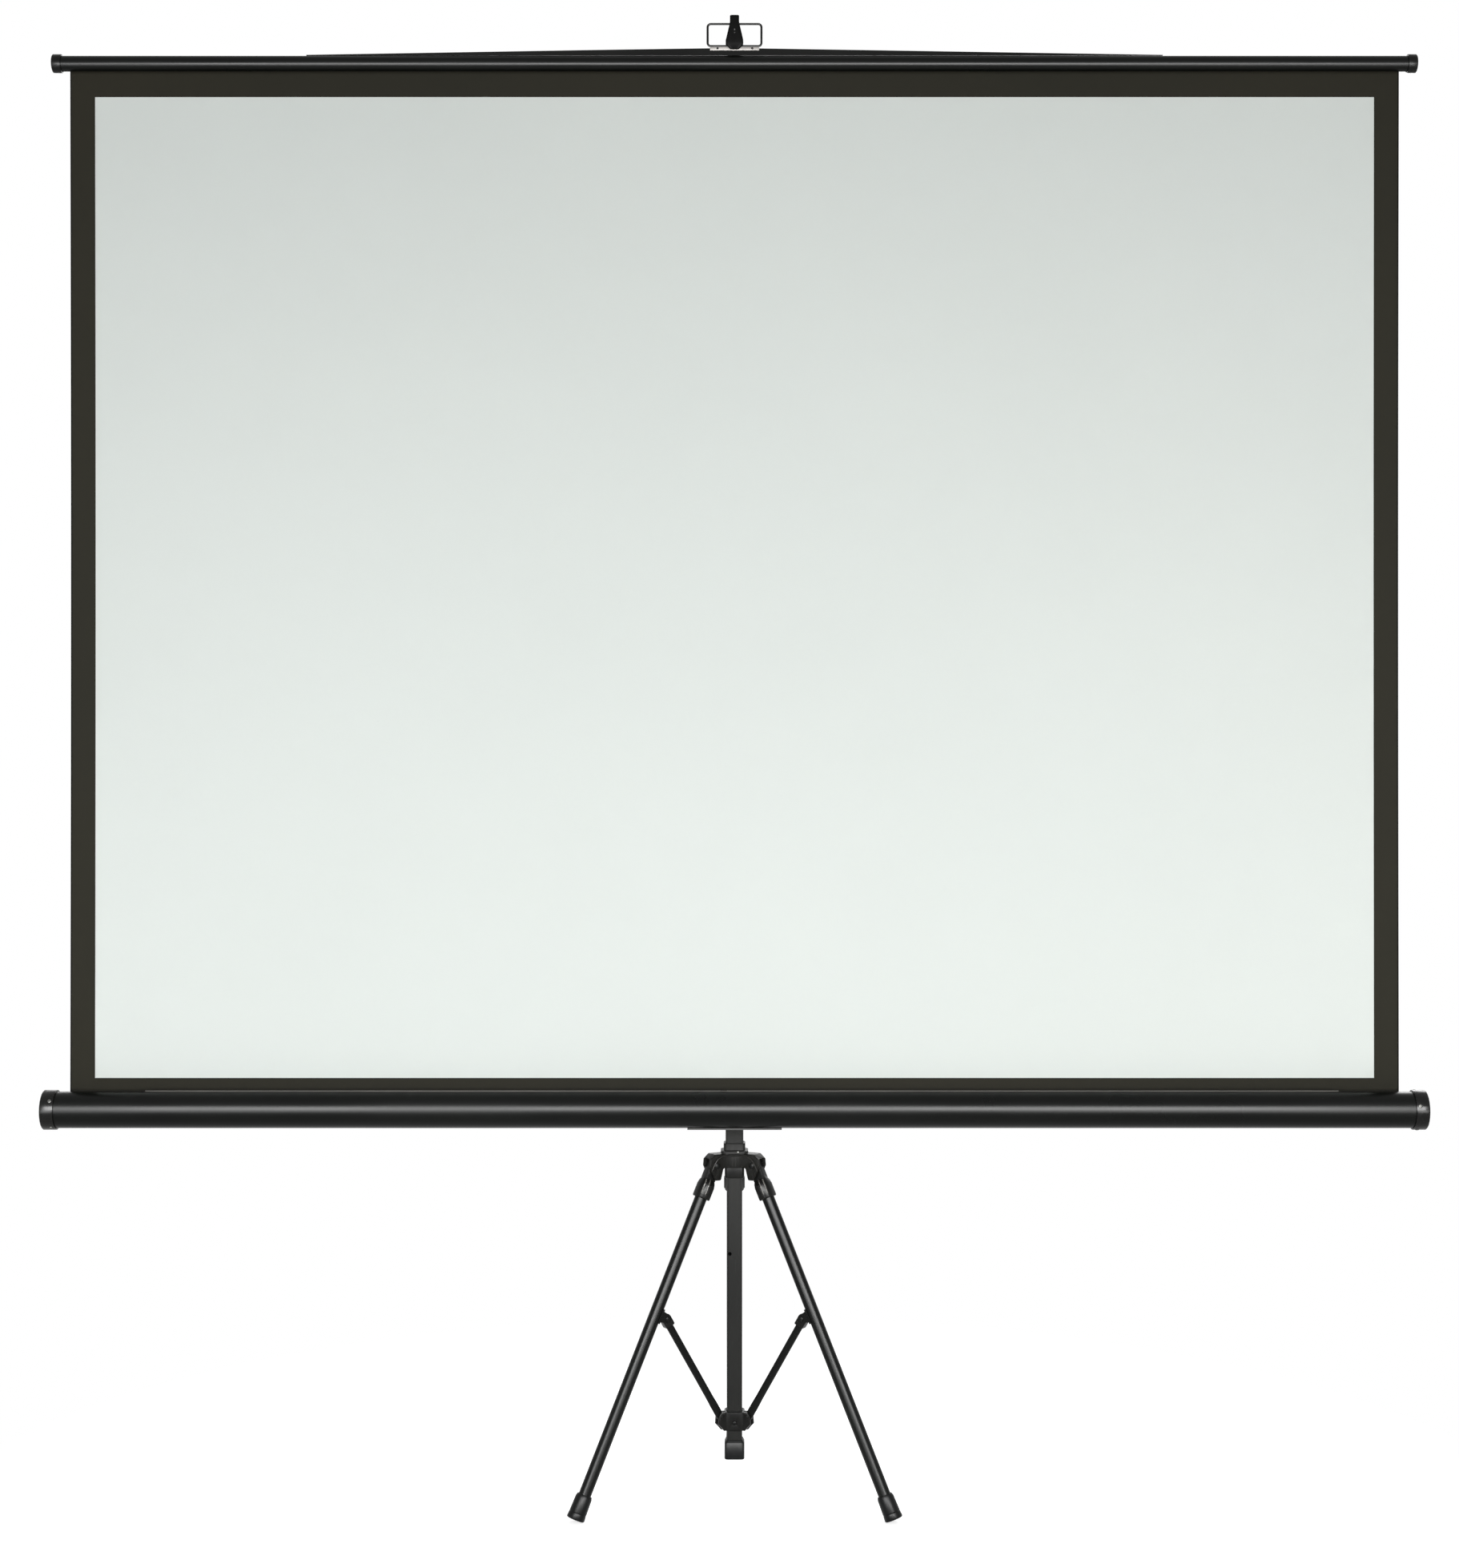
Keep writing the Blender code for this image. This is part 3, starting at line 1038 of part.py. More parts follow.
def build_saddle(case):
    """Curved cradle under and behind the case, with the pad that its pivot shaft sits in."""
    inner = CASE_RADIUS + CLEAR
    outer = inner + SADDLE_SHEET
    start, end = SADDLE_FRONT_ANGLE, SADDLE_BACK_ANGLE
    outline = arc((0, 0), outer, start, end, 14) + arc((0, 0), inner, end, start, 14)
    mesh = plate("case_saddle", [outline], SADDLE_LENGTH)
    saddle = add_object("case_saddle", mesh, BLACK_PAINT, case, (0, 0, 0), ALONG_X)
    pad_front = CASE_TO_MAST - SADDLE_PAD_FRONT
    mesh = block("saddle_pad", (SADDLE_PAD_LENGTH, SADDLE_PAD_DEPTH, SADDLE_PAD_HEIGHT))
    pad = add_object("saddle_pad", mesh, None, case, (0, pad_front + SADDLE_PAD_DEPTH / 2, 0))
    round_edges(pad, 1 * MM)
    join(saddle, pad)
    case_mesh = cylinder("saddle_case_cut", inner, SADDLE_LENGTH + 10 * MM, SEGMENTS_LARGE)
    case_cut = add_object("saddle_case_cut", case_mesh, None, case, (0, 0, 0), TURNED_TO_RIGHT)
    shaft_mesh = cylinder("saddle_bore", PIVOT_SHAFT_RADIUS + CLEAR, 40 * MM, SEGMENTS_MEDIUM)
    shaft_cut = add_object("saddle_bore", shaft_mesh, None, case, (0, pad_front, 0), TURNED_TO_FRONT)
    recess_depth = PIVOT_HEAD_HEIGHT + 2 * CLEAR
    recess_mesh = cylinder("saddle_recess", PIVOT_HEAD_RADIUS + CLEAR, 2 * recess_depth, SEGMENTS_MEDIUM)
    recess = add_object("saddle_recess", recess_mesh, None, case, (0, pad_front, 0), TURNED_TO_FRONT)
    cut(saddle, case_cut, shaft_cut, recess)
    back = pad_front + SADDLE_PAD_DEPTH + PIVOT_SHAFT_DEPTH
    front = pad_front + CLEAR
    profile = [
        (0, -front),
        (PIVOT_HEAD_RADIUS, -front),
        (PIVOT_HEAD_RADIUS, -front - PIVOT_HEAD_HEIGHT),
        (PIVOT_SHAFT_RADIUS, -front - PIVOT_HEAD_HEIGHT),
        (PIVOT_SHAFT_RADIUS, 1 * MM - back),
        (PIVOT_SHAFT_RADIUS - 1 * MM, -back),
        (0, -back),
    ]
    turned("pivot_shaft", profile, BRIGHT_STEEL, SEGMENTS_MEDIUM, case, (0, 0, 0), TURNED_TO_FRONT)


# Case and roller

def build_case(case):
    slot_angle = math.acos(CLOTH_BEHIND_CASE / CASE_RADIUS)
    half_gap = CASE_SLOT_WIDTH / 2 / (CASE_RADIUS * math.sin(slot_angle))
    inner = CASE_RADIUS - CASE_WALL
    outline = slotted_ring(CASE_RADIUS, inner, slot_angle, half_gap, SEGMENTS_LARGE)
    mesh = plate("case_tube", [outline], 2 * CASE_TUBE_HALF)
    add_object("case_tube", mesh, BLACK_ENAMEL, case, (0, 0, 0), ALONG_X)
    for side, lay, bore in (
        ("left", TURNED_TO_LEFT, ROLLER_PIN_RADIUS + CLEAR),
        ("right", TURNED_TO_RIGHT, SPRING_SHAFT_RADIUS + CLEAR),
    ):
        profile = domed(CASE_CAP_RADIUS - 1.5 * MM, CASE_CAP_END, CASE_CAP_DOME)
        profile += [
            (CASE_CAP_RADIUS, CASE_CAP_END - CASE_CAP_DOME - 1.5 * MM),
            (CASE_CAP_RADIUS, -CASE_CAP_LIP),
            (CASE_RADIUS + CLEAR, -CASE_CAP_LIP),
            (CASE_RADIUS + CLEAR, 0),
            (CASE_BOSS_RADIUS, 0),
            (CASE_BOSS_RADIUS, -CASE_BOSS_LENGTH),
            (bore, -CASE_BOSS_LENGTH),
            (bore, -CASE_BOSS_FLOOR),
            (0, -CASE_BOSS_FLOOR),
        ]
        sign = -1 if side == "left" else 1
        place = (sign * (CASE_HALF - CASE_CAP_END), 0, 0)
        turned(f"case_cap_{side}", profile, BLACK_PLASTIC, SEGMENTS_LARGE, case, place, lay)


def build_roller(case):
    """Roller tube with its spare turns of cloth, two plugs, and the spring on its shaft."""
    inner = ROLLER_RADIUS - ROLLER_WALL
    outlines = [circle(ROLLER_RADIUS, SEGMENTS_LARGE), circle(inner, SEGMENTS_LARGE)]
    mesh = plate("roller_tube", outlines, 2 * ROLLER_HALF)
    add_object("roller_tube", mesh, BRIGHT_STEEL, case, (0, 0, 0), ALONG_X)
    outlines = [circle(WOUND_RADIUS, SEGMENTS_LARGE), circle(ROLLER_RADIUS + CLEAR, SEGMENTS_LARGE)]
    mesh = plate("wound_cloth", outlines, CLOTH_WIDTH)
    add_object("wound_cloth", mesh, SCREEN_CLOTH, case, (0, 0, 0), ALONG_X)
    fit = inner - CLEAR
    flange = (ROLLER_RADIUS, CLEAR + ROLLER_FLANGE), (ROLLER_RADIUS, CLEAR), (fit, CLEAR)
    pin_end = CLEAR + ROLLER_FLANGE + ROLLER_PIN_LENGTH
    pin = ROLLER_PIN_RADIUS
    profile = [(0, pin_end), (pin - 0.5 * MM, pin_end), (pin, pin_end - 0.5 * MM), (pin, flange[0][1])]
    profile += [*flange, (fit, -ROLLER_PLUG_DEPTH), (0, -ROLLER_PLUG_DEPTH)]
    place = (-ROLLER_HALF, 0, 0)
    turned("roller_plug_left", profile, GREY_PLASTIC, SEGMENTS_MEDIUM, case, place, TURNED_TO_LEFT)
    bore = SPRING_SHAFT_RADIUS + CLEAR
    profile = [(bore, flange[0][1]), *flange, (fit, -ROLLER_PLUG_DEPTH), (bore, -ROLLER_PLUG_DEPTH)]
    place = (ROLLER_HALF, 0, 0)
    turned_ring("roller_plug_right", profile, GREY_PLASTIC, SEGMENTS_MEDIUM, case, place, TURNED_TO_RIGHT)
    end = CASE_HALF - CASE_CAP_END - CASE_BOSS_FLOOR - CLEAR
    shaft = SPRING_SHAFT_RADIUS
    length = SPRING_SHAFT_LENGTH
    profile = [
        (0, 0),
        (shaft - 0.5 * MM, 0),
        (shaft, -0.5 * MM),
        (shaft, 0.5 * MM - length),
        (shaft - 0.5 * MM, -length),
        (0, -length),
    ]
    turned("spring_shaft", profile, BRIGHT_STEEL, SEGMENTS_SMALL, case, (end, 0, 0), TURNED_TO_RIGHT)
    radius = (SPRING_SHAFT_RADIUS + CLEAR + SPRING_WIRE_RADIUS) / math.cos(180 * DEG / SPRING_TURN_POINTS)
    path = []
    for i in range(SPRING_TURNS * SPRING_TURN_POINTS + 1):
        turns = i / SPRING_TURN_POINTS
        angle = 360 * DEG * turns
        place = ROLLER_HALF - SPRING_START - turns * SPRING_PITCH
        path.append((place, radius * math.cos(angle), radius * math.sin(angle)))
    add_object("roller_spring", rod("roller_spring", path, SPRING_WIRE_RADIUS, 0), DARK_STEEL, case)


def build_cloth():
    base = CASE_HEIGHT
    top = BAR_HEIGHT - CLOTH_IN_BAR
    mesh = block("screen_cloth", (CLOTH_WIDTH, CLOTH_THICKNESS, top - base))
    add_object("screen_cloth", mesh, SCREEN_CLOTH, None, (0, CLOTH_Y, (base + top) / 2))


# Top bar, bail, pole and hook

def strip_height(share):
    """Height of the hanger strip at a share of its half length."""
    return STRIP_TIP_HEIGHT + (STRIP_HEIGHT - STRIP_TIP_HEIGHT) * (1 - abs(share) ** STRIP_CURVE)


def build_top_bar(bar):
    half_gap = math.asin(BAR_SLOT_WIDTH / 2 / BAR_RADIUS)
    outline = slotted_ring(BAR_RADIUS, BAR_RADIUS - BAR_WALL, -90 * DEG, half_gap, SEGMENTS_MEDIUM)
    mesh = plate("top_bar_tube", [outline], 2 * BAR_TUBE_HALF)
    add_object("top_bar_tube", mesh, BLACK_ENAMEL, bar, (0, 0, 0), ALONG_X)
    profile = domed(BAR_CAP_RADIUS - 1 * MM, BAR_CAP_END, BAR_CAP_DOME)
    profile += [
        (BAR_CAP_RADIUS, BAR_CAP_END - BAR_CAP_DOME - 1 * MM),
        (BAR_CAP_RADIUS, -BAR_CAP_LIP + 0.4 * MM),
        (BAR_CAP_RADIUS - 0.4 * MM, -BAR_CAP_LIP),
        (BAR_RADIUS + CLEAR, -BAR_CAP_LIP),
        (BAR_RADIUS + CLEAR, 0),
        (0, 0),
    ]
    for side, sign, lay in (("left", -1, TURNED_TO_LEFT), ("right", 1, TURNED_TO_RIGHT)):
        place = (sign * (BAR_HALF - BAR_CAP_END), 0, 0)
        turned(f"bar_cap_{side}", profile, BLACK_PLASTIC, SEGMENTS_MEDIUM, bar, place, lay)
    steps = 12
    shares = [i / steps for i in range(-steps, steps + 1)]
    top = [(-s * STRIP_HALF_LENGTH, STRIP_BASE + strip_height(s)) for s in shares]
    outline = [(-STRIP_HALF_LENGTH, STRIP_BASE), (STRIP_HALF_LENGTH, STRIP_BASE)] + top
    mesh = plate("hanger_strip", [outline], STRIP_THICKNESS)
    add_object("hanger_strip", mesh, BLACK_ENAMEL, bar, (0, 0, 0), FACING_FRONT)


def build_bail_plate(bar):
    """Zinc channel over the hanger strip, with two ears bent up for the bail."""
    sheet = BAIL_PLATE_SHEET
    inner = STRIP_THICKNESS / 2 + CLEAR
    outer = inner + sheet
    top = BAIL_PLATE_TOP
    low = top - BAIL_PLATE_FLANGE
    channel = [(-outer, low), (-inner, low), (-inner, top - sheet), (inner, top - sheet)]
    channel += [(inner, low), (outer, low), (outer, top), (-outer, top)]
    mesh = plate("bail_plate", [channel], BAIL_PLATE_LENGTH)
    bail_plate = add_object("bail_plate", mesh, ZINC, bar, (0, 0, 0), ALONG_X)
    height = BAIL_EAR_HEIGHT + sheet / 2
    ear_outline = [(-outer, -height / 2), (outer, -height / 2)]
    ear_outline += arc((0, height / 2 - outer), outer, 0, 180 * DEG, 8)
    ear_mesh = plate("bail_ear", [ear_outline], sheet)
    hole_mesh = cylinder("bail_hole", BAIL_WIRE_RADIUS + CLEAR, 60 * MM, SEGMENTS_SMALL)
    for side, sign in (("left", -1), ("right", 1)):
        place = (sign * BAIL_EAR_OFFSET, 0, top - sheet / 2 + height / 2)
        join(bail_plate, add_object(f"bail_ear_{side}", ear_mesh, None, bar, place, ALONG_X))
    place = (0, 0, BAIL_PIVOT_RISE)
    cut(bail_plate, add_object("bail_hole", hole_mesh, None, bar, place, TURNED_TO_RIGHT))


def build_bail(bar):
    """Wire bail whose ends turn in through the ears."""
    half = BAIL_WIDTH / 2 - BAIL_WIRE_RADIUS
    rise = BAIL_TOP_RISE - BAIL_PIVOT_RISE
    corners = [(-BAIL_TUCK, 0), (-half, 0), (-half, rise), (half, rise), (half, 0), (BAIL_TUCK, 0)]
    path = [corners[0]]
    for i in range(1, 5):
        path += fillet(corners[i - 1], corners[i], corners[i + 1], BAIL_BEND, 5)
    path.append(corners[5])
    points = [(x, 0, z) for x, z in path]
    mesh = rod("bail_wire", points, BAIL_WIRE_RADIUS, 2)
    add_object("bail_wire", mesh, DARK_STEEL, bar, (0, 0, BAIL_PIVOT_RISE))


def hook_arm_outline():
    """Side view of the hook's arm, as (distance behind the cloth, height from the bar)."""
    seat = HOOK_SEAT_RISE
    notch = HOOK_NOTCH_HALF_WIDTH
    nose = HOOK_NOSE_GAP + HOOK_NOSE_THICKNESS / 2
    under = BAIL_PLATE_TOP + BAIL_EAR_HEIGHT + 2 * CLEAR
    root = SCREEN_TO_MAST
    cap_base = HOOK_CAP_TOP_RISE - HOOK_CAP_HEIGHT
    return [
        (root, HOOK_CAP_TOP_RISE - 1 * MM),
        (SCREEN_TO_MAST / 2, seat + HOOK_ARM_SHOULDER),
        (notch + 5 * MM, seat + HOOK_ARM_SHOULDER),
        (notch, seat + 1.5 * MM),
        (notch - 2 * MM, seat),
        (2 * MM - notch, seat),
        (-nose, seat + 1.5 * MM),
        (-nose, under),
        (POLE_WIDTH, under),
        (root, cap_base + 8 * MM),
    ]


def hook_nose_outline():
    """Front view of the hook's nose, from its rounded tip down to its foot."""
    tip = HOOK_SEAT_RISE + HOOK_NOSE_RISE
    neck = HOOK_SEAT_RISE - HOOK_NECK_DROP
    chin = HOOK_SEAT_RISE - HOOK_CHIN_DROP
    foot = HOOK_SEAT_RISE - HOOK_FOOT_DROP
    half = HOOK_NOSE_HALF_WIDTH
    right = [(HOOK_FOOT_HALF_WIDTH, foot), (HOOK_CHIN_HALF_WIDTH - 2 * MM, chin - 3 * MM)]
    right += [(HOOK_CHIN_HALF_WIDTH, chin)]
    for share in (0.25, 0.5, 0.75, 1):
        swell = (HOOK_CHIN_HALF_WIDTH - half) * (1 - share) ** 1.4
        right.append((half + swell, chin + (neck - chin) * share))
    right += [(half, tip - 2.5 * MM), (half - 2 * MM, tip)]
    return right + [(-x, z) for x, z in reversed(right)]


def build_pole(stand):
    """Extension pole with its end guide, and the hook that fits over its top."""
    square_tube("extension_pole", POLE_WIDTH, POLE_WALL, POLE_BASE, POLE_TOP, BLACK_PAINT, stand)
    guide = MAST_WIDTH - 2 * MAST_WALL - 2 * TUBE_FIT
    spigot = POLE_WIDTH - 2 * POLE_WALL - 2 * TUBE_FIT
    corner = TUBE_CORNER - MAST_WALL
    low = POLE_BASE - CLEAR - POLE_GUIDE_HEIGHT
    rings = [
        level_ring(guide - 2 * MM, guide - 2 * MM, corner, low),
        level_ring(guide, guide, corner, low + 2 * MM),
        level_ring(guide, guide, corner, POLE_BASE - CLEAR),
        level_ring(spigot, spigot, corner, POLE_BASE - CLEAR + 0.01 * MM),
        level_ring(spigot, spigot, corner, POLE_BASE + POLE_GUIDE_SPIGOT),
    ]
    add_object("pole_guide", loft("pole_guide", rings), BLACK_PLASTIC, stand)
    cap_top = BAR_HEIGHT + HOOK_CAP_TOP_RISE
    cap_base = cap_top - HOOK_CAP_HEIGHT
    outer = POLE_WIDTH + 2 * TUBE_FIT + 2 * HOOK_CAP_WALL
    rings = [
        level_ring(outer - 1 * MM, outer - 1 * MM, 5 * MM, cap_base),
        level_ring(outer, outer, 5 * MM, cap_base + 1 * MM),
        level_ring(outer, outer, 5 * MM, cap_top - 2 * MM),
        level_ring(outer - 3 * MM, outer - 3 * MM, 4 * MM, cap_top),
    ]
    hook = add_object("pole_hook", loft("pole_hook", rings), BLACK_PLASTIC, stand)
    screen = add_empty("hook_place", stand, (0, -SCREEN_TO_MAST, BAR_HEIGHT))
    arm_mesh = plate("hook_arm", [hook_arm_outline()], HOOK_ARM_THICKNESS)
    arm = add_object("hook_arm", arm_mesh, None, screen, (0, 0, 0), ALONG_X)
    round_edges(arm, 0.8 * MM)
    nose_mesh = plate("hook_nose", [hook_nose_outline()], HOOK_NOSE_THICKNESS)
    place = (0, -HOOK_NOSE_GAP - HOOK_NOSE_THICKNESS / 2, 0)
    nose = add_object("hook_nose", nose_mesh, None, screen, place, FACING_FRONT)
    round_edges(nose, 1.2 * MM)
    join(hook, arm, nose)
    cut(hook, square_bore("hook_bore", POLE_WIDTH, cap_base - 5 * MM, POLE_TOP + CLEAR, stand))


def build_top_collar(stand):
    """Collar on the mast's upper end that guides and clamps the pole."""
    outer = MAST_WIDTH + 2 * TUBE_FIT + 2 * TOP_COLLAR_WALL
    base = MAST_TOP - TOP_COLLAR_SKIRT
    top = MAST_TOP + TOP_COLLAR_LIP
    rings = [
        level_ring(outer - 1 * MM, outer - 1 * MM, 6 * MM, base),
        level_ring(outer, outer, 6 * MM, base + 1 * MM),
        level_ring(outer, outer, 6 * MM, top - 4 * MM),
        level_ring(outer - 6 * MM, outer - 6 * MM, 5 * MM, top),
    ]
    collar = add_object("mast_top_collar", loft("mast_top_collar", rings), BLACK_PLASTIC, stand)
    height = MAST_TOP + TOP_COLLAR_LIP / 2
    boss, boss_bore = knob_boss("pole_knob", stand, outer / 2, height)
    join(collar, boss)
    mast_bore = square_bore("top_collar_mast_bore", MAST_WIDTH, base - 5 * MM, MAST_TOP + CLEAR, stand)
    pole_bore = square_bore("top_collar_pole_bore", POLE_WIDTH, MAST_TOP - 5 * MM, top + 5 * MM, stand)
    cut(collar, mast_bore, pole_bore, boss_bore)
    build_knob("pole_knob", stand, outer / 2 + KNOB_BOSS_HEIGHT, POLE_WIDTH / 2 + CLEAR, height)


def main():
    stand = add_empty("stand_place", None, (0, MAST_Y, 0))
    build_stand(stand)
    build_slider(stand)
    build_handle(stand)
    build_top_collar(stand)
    build_pole(stand)
    case = add_empty("case_place", None, (0, CASE_Y, CASE_HEIGHT))
    build_saddle(case)
    build_case(case)
    build_roller(case)
    build_cloth()
    bar = add_empty("bar_place", None, (0, CLOTH_Y, BAR_HEIGHT))
    build_top_bar(bar)
    build_bail_plate(bar)
    build_bail(bar)


main()
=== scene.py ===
import math

import bmesh
import bpy
from mathutils import Matrix, Vector
from mathutils.bvhtree import BVHTree


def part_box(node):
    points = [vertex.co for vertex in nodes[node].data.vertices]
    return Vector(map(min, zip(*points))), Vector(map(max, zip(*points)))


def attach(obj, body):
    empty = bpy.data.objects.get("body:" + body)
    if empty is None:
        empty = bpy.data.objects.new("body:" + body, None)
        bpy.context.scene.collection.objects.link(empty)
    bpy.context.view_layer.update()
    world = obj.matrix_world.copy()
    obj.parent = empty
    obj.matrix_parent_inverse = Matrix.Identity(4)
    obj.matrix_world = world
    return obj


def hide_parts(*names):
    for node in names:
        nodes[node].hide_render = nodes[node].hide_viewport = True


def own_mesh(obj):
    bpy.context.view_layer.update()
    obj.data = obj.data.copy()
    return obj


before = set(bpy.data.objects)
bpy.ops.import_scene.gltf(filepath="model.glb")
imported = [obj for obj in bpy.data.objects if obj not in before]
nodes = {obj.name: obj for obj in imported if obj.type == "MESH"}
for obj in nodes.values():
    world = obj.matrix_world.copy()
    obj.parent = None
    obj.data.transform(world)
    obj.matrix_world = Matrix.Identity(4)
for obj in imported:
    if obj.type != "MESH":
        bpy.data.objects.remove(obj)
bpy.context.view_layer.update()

MM = 0.001
SCENE = bpy.context.scene


def middle(node):
    """Middle of a node's box."""
    low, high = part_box(node)
    return (low + high) / 2


# The photograph's frame and the camera that took it, level and square to the screen
PHOTO_WIDTH = 1822
PHOTO_HEIGHT = 1958
FOCAL_PIXELS = 3143.7
SENSOR = 36
CAMERA_DISTANCE = 4.0
CAMERA_X = -0.008
CAMERA_HEIGHT = 1.15

# Stand and case: their axes, and the radii that the fasteners sit on
MAST_Y = middle("mast_tube").y
CASE_Y = middle("case_cap_left").y
CASE_HEIGHT = middle("case_cap_left").z
CASE_CAP_RADIUS = 31.5 * MM
SADDLE_RADIUS = 31.6 * MM

# Screen cloth: flat size, printed area and place
CLOTH_Y = middle("screen_cloth").y
CLOTH_THICKNESS = 0.5 * MM
CLOTH_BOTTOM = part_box("screen_cloth")[0].z
CLOTH_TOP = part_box("screen_cloth")[1].z
CLOTH_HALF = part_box("screen_cloth")[1].x
WHITE_HALF = 1016 * MM
WHITE_BOTTOM = 0.683
WHITE_TOP = 2.2413
# Width of the darker strip along each side edge: painted shade where the cloth curls back
EDGE_SHADE_WIDTH = 2.2 * MM
EDGE_CURL = 3.2 * MM
CURL_START = 0.9
WIDE_WAVE = 1.1 * MM
SLOW_WAVE = 0.8 * MM

# Turns of cloth left on the roller
WOUND_INNER = 16.3 * MM
WOUND_OUTER = 20.3 * MM
WOUND_TURNS = 7
WOUND_STEPS = 28
WOUND_FILL = 0.84

# Shading of the CAD nodes and of the pieces made here, in degrees and metres
WELD_DISTANCE = 0.002 * MM
FLAT_ANGLE = 0.6
BEVEL_ANGLE = 38
NODE_SHARP_ANGLE = 34
PIECE_SHARP_ANGLE = 35

# Heads of the fasteners, (radius, height), and how deep they sit in their faces
CAP_SCREW = (3.1 * MM, 1.1 * MM)
SADDLE_RIVET = (3.4 * MM, 1.5 * MM)
HUB_RIVET = (1.8 * MM, 0.7 * MM)
HANDLE_SCREW = (2.5 * MM, 1.2 * MM)
TOP_COLLAR_SCREW = (3.0 * MM, 1.2 * MM)
BRACE_COLLAR_SCREW = (3.35 * MM, 1.3 * MM)
PLATE_RIVET = (1.9 * MM, 0.45 * MM)
SEAT = 0.1 * MM

# Case: screws round the end caps, their centre pins as (radius, height) in millimetres,
# the lip of the slot, light in colour as a painted highlight, rivets of the saddle
CAP_SCREW_INSET = 17.8 * MM
CAP_SCREW_RADIUS = 0.994 * CASE_CAP_RADIUS
CAP_SCREW_ANGLES = {"left": (33, 123, 213, 303), "right": (18, 108, 198, 288)}
CAP_PIN = ((0, 1.3), (3.4, 1.3), (4.0, 0.9), (4.3, 0), (0, 0))
LIP_ENDS = (-0.932, 0.955)
LIP_BACK = 2.4 * MM
LIP_RISE = 28.75 * MM
LIP_RADIUS = 1.6 * MM
SADDLE_RIVET_X = 62 * MM
SADDLE_RIVET_ANGLES = (12, -38)

# Hub in the front view, (x, height) in millimetres: rim of its web, two mould lines, and the
# start of a short line that places the rivet
HUB_RIM = (
    (-36.5, 529), (-31, 541.5), (-27, 547.5), (-19.5, 552.6),
    (20, 552.8), (27, 548), (31, 542), (36.5, 529.5),
)
HUB_RIM_RADIUS = 1.0 * MM
HUB_RIM_PROUD = 0.5 * MM
MOULD_LINES = (((-3.8, 534.5), (-3.8, 554.5)), ((2.0, 534.5), (2.0, 554.5)))
MOULD_LINE_RADIUS = 0.5 * MM
MOULD_LINE_SUNK = 0.25 * MM
HUB_RIVET_PLACE = ((5.8, 558.3), (5.9, 558.3))

# Leg heads in the front view, in millimetres: left pivot, the leg's direction, ribs along it
PIVOT = (-33.4, 537.5)
LEG_ALONG = (-0.3625, -0.932)
LEG_ACROSS = (0.932, -0.3625)
RIB_REACH = (23, 45)
RIB_OFFSET = 3.3
RIB_RADIUS = 1.2 * MM
RIB_SUNK = 0.6 * MM
REAR_TURN = -120

# Handle: grip as a row of ridges, each (radius, place along the grip) in millimetres, screws
GRIP_CORE = 7.6
GRIP_HALF = 33
GRIP_RIDGE = ((8.15, 0), (8.75, 0.9), (8.75, 3.4), (8.15, 4.3))
GRIP_RIDGES = 12
GRIP_PITCH = 5.33
HANDLE_AXIS_DEPTH = 8 * MM
HANDLE_SCREW_X = 8.3 * MM
HANDLE_SCREW_RISE = 64.8 * MM
HANDLE_FOOT = 5 * MM

# Sleeve and top collar: bands round them, and the collar's screws
BAND_RADIUS = 0.9 * MM
BAND_CORNER = 6 * MM
SLEEVE_BAND_INSET = 5 * MM
SLEEVE_BAND_PITCH = 4 * MM
COLLAR_BAND_INSET = 4 * MM
COLLAR_SCREW_RISE = 14 * MM

# Knobs: profile of the cap disc, (radius, height) in millimetres
KNOB_CAP = (
    (0, 0.9), (3, 0.9), (3.6, 0.5), (5.6, 0.5), (6.1, 1.1),
    (7.2, 1.1), (7.7, 0.6), (7.9, 0), (0, 0),
)

# Rivets of the bail plate
PLATE_RIVET_X = (-27 * MM, 28 * MM)
PLATE_RIVET_RISE = 3.2 * MM

# Hook, in millimetres: nose as (height from the top, half width, half depth), its moulded mark
# as (radius, height)
NOSE_LEVELS = (
    (0.3, 6.4, 2.2), (-0.6, 7.25, 2.9), (-2.5, 7.3, 3.1), (-9, 7.3, 3.1), (-12.6, 7.7, 3.3),
    (-20, 9.5, 3.5), (-28, 11.4, 3.5), (-38, 13.7, 3.5), (-43, 14.0, 3.4), (-45.2, 13.8, 3.2),
    (-46.6, 13.2, 3.0), (-52.4, 7.8, 2.8), (-53.4, 6.6, 2.0),
)
NOSE_SIDES = 28
NOSE_WIDTH_POWER = 0.42
NOSE_DEPTH_POWER = 0.55
NOSE_STANDOFF = 0.7 * MM
NOSE_MIDDLE = 3.5 * MM
HOOK_MARK = (
    (0, 0.15), (1.6, 0.15), (2.3, 0.45), (3.0, 0.6), (3.6, 0.35), (3.9, -0.4), (0, -0.4),
)
HOOK_MARK_DROP = 25 * MM
HOOK_MARK_SUNK = 0.05 * MM
HOOK_MARK_NARROW = 0.55

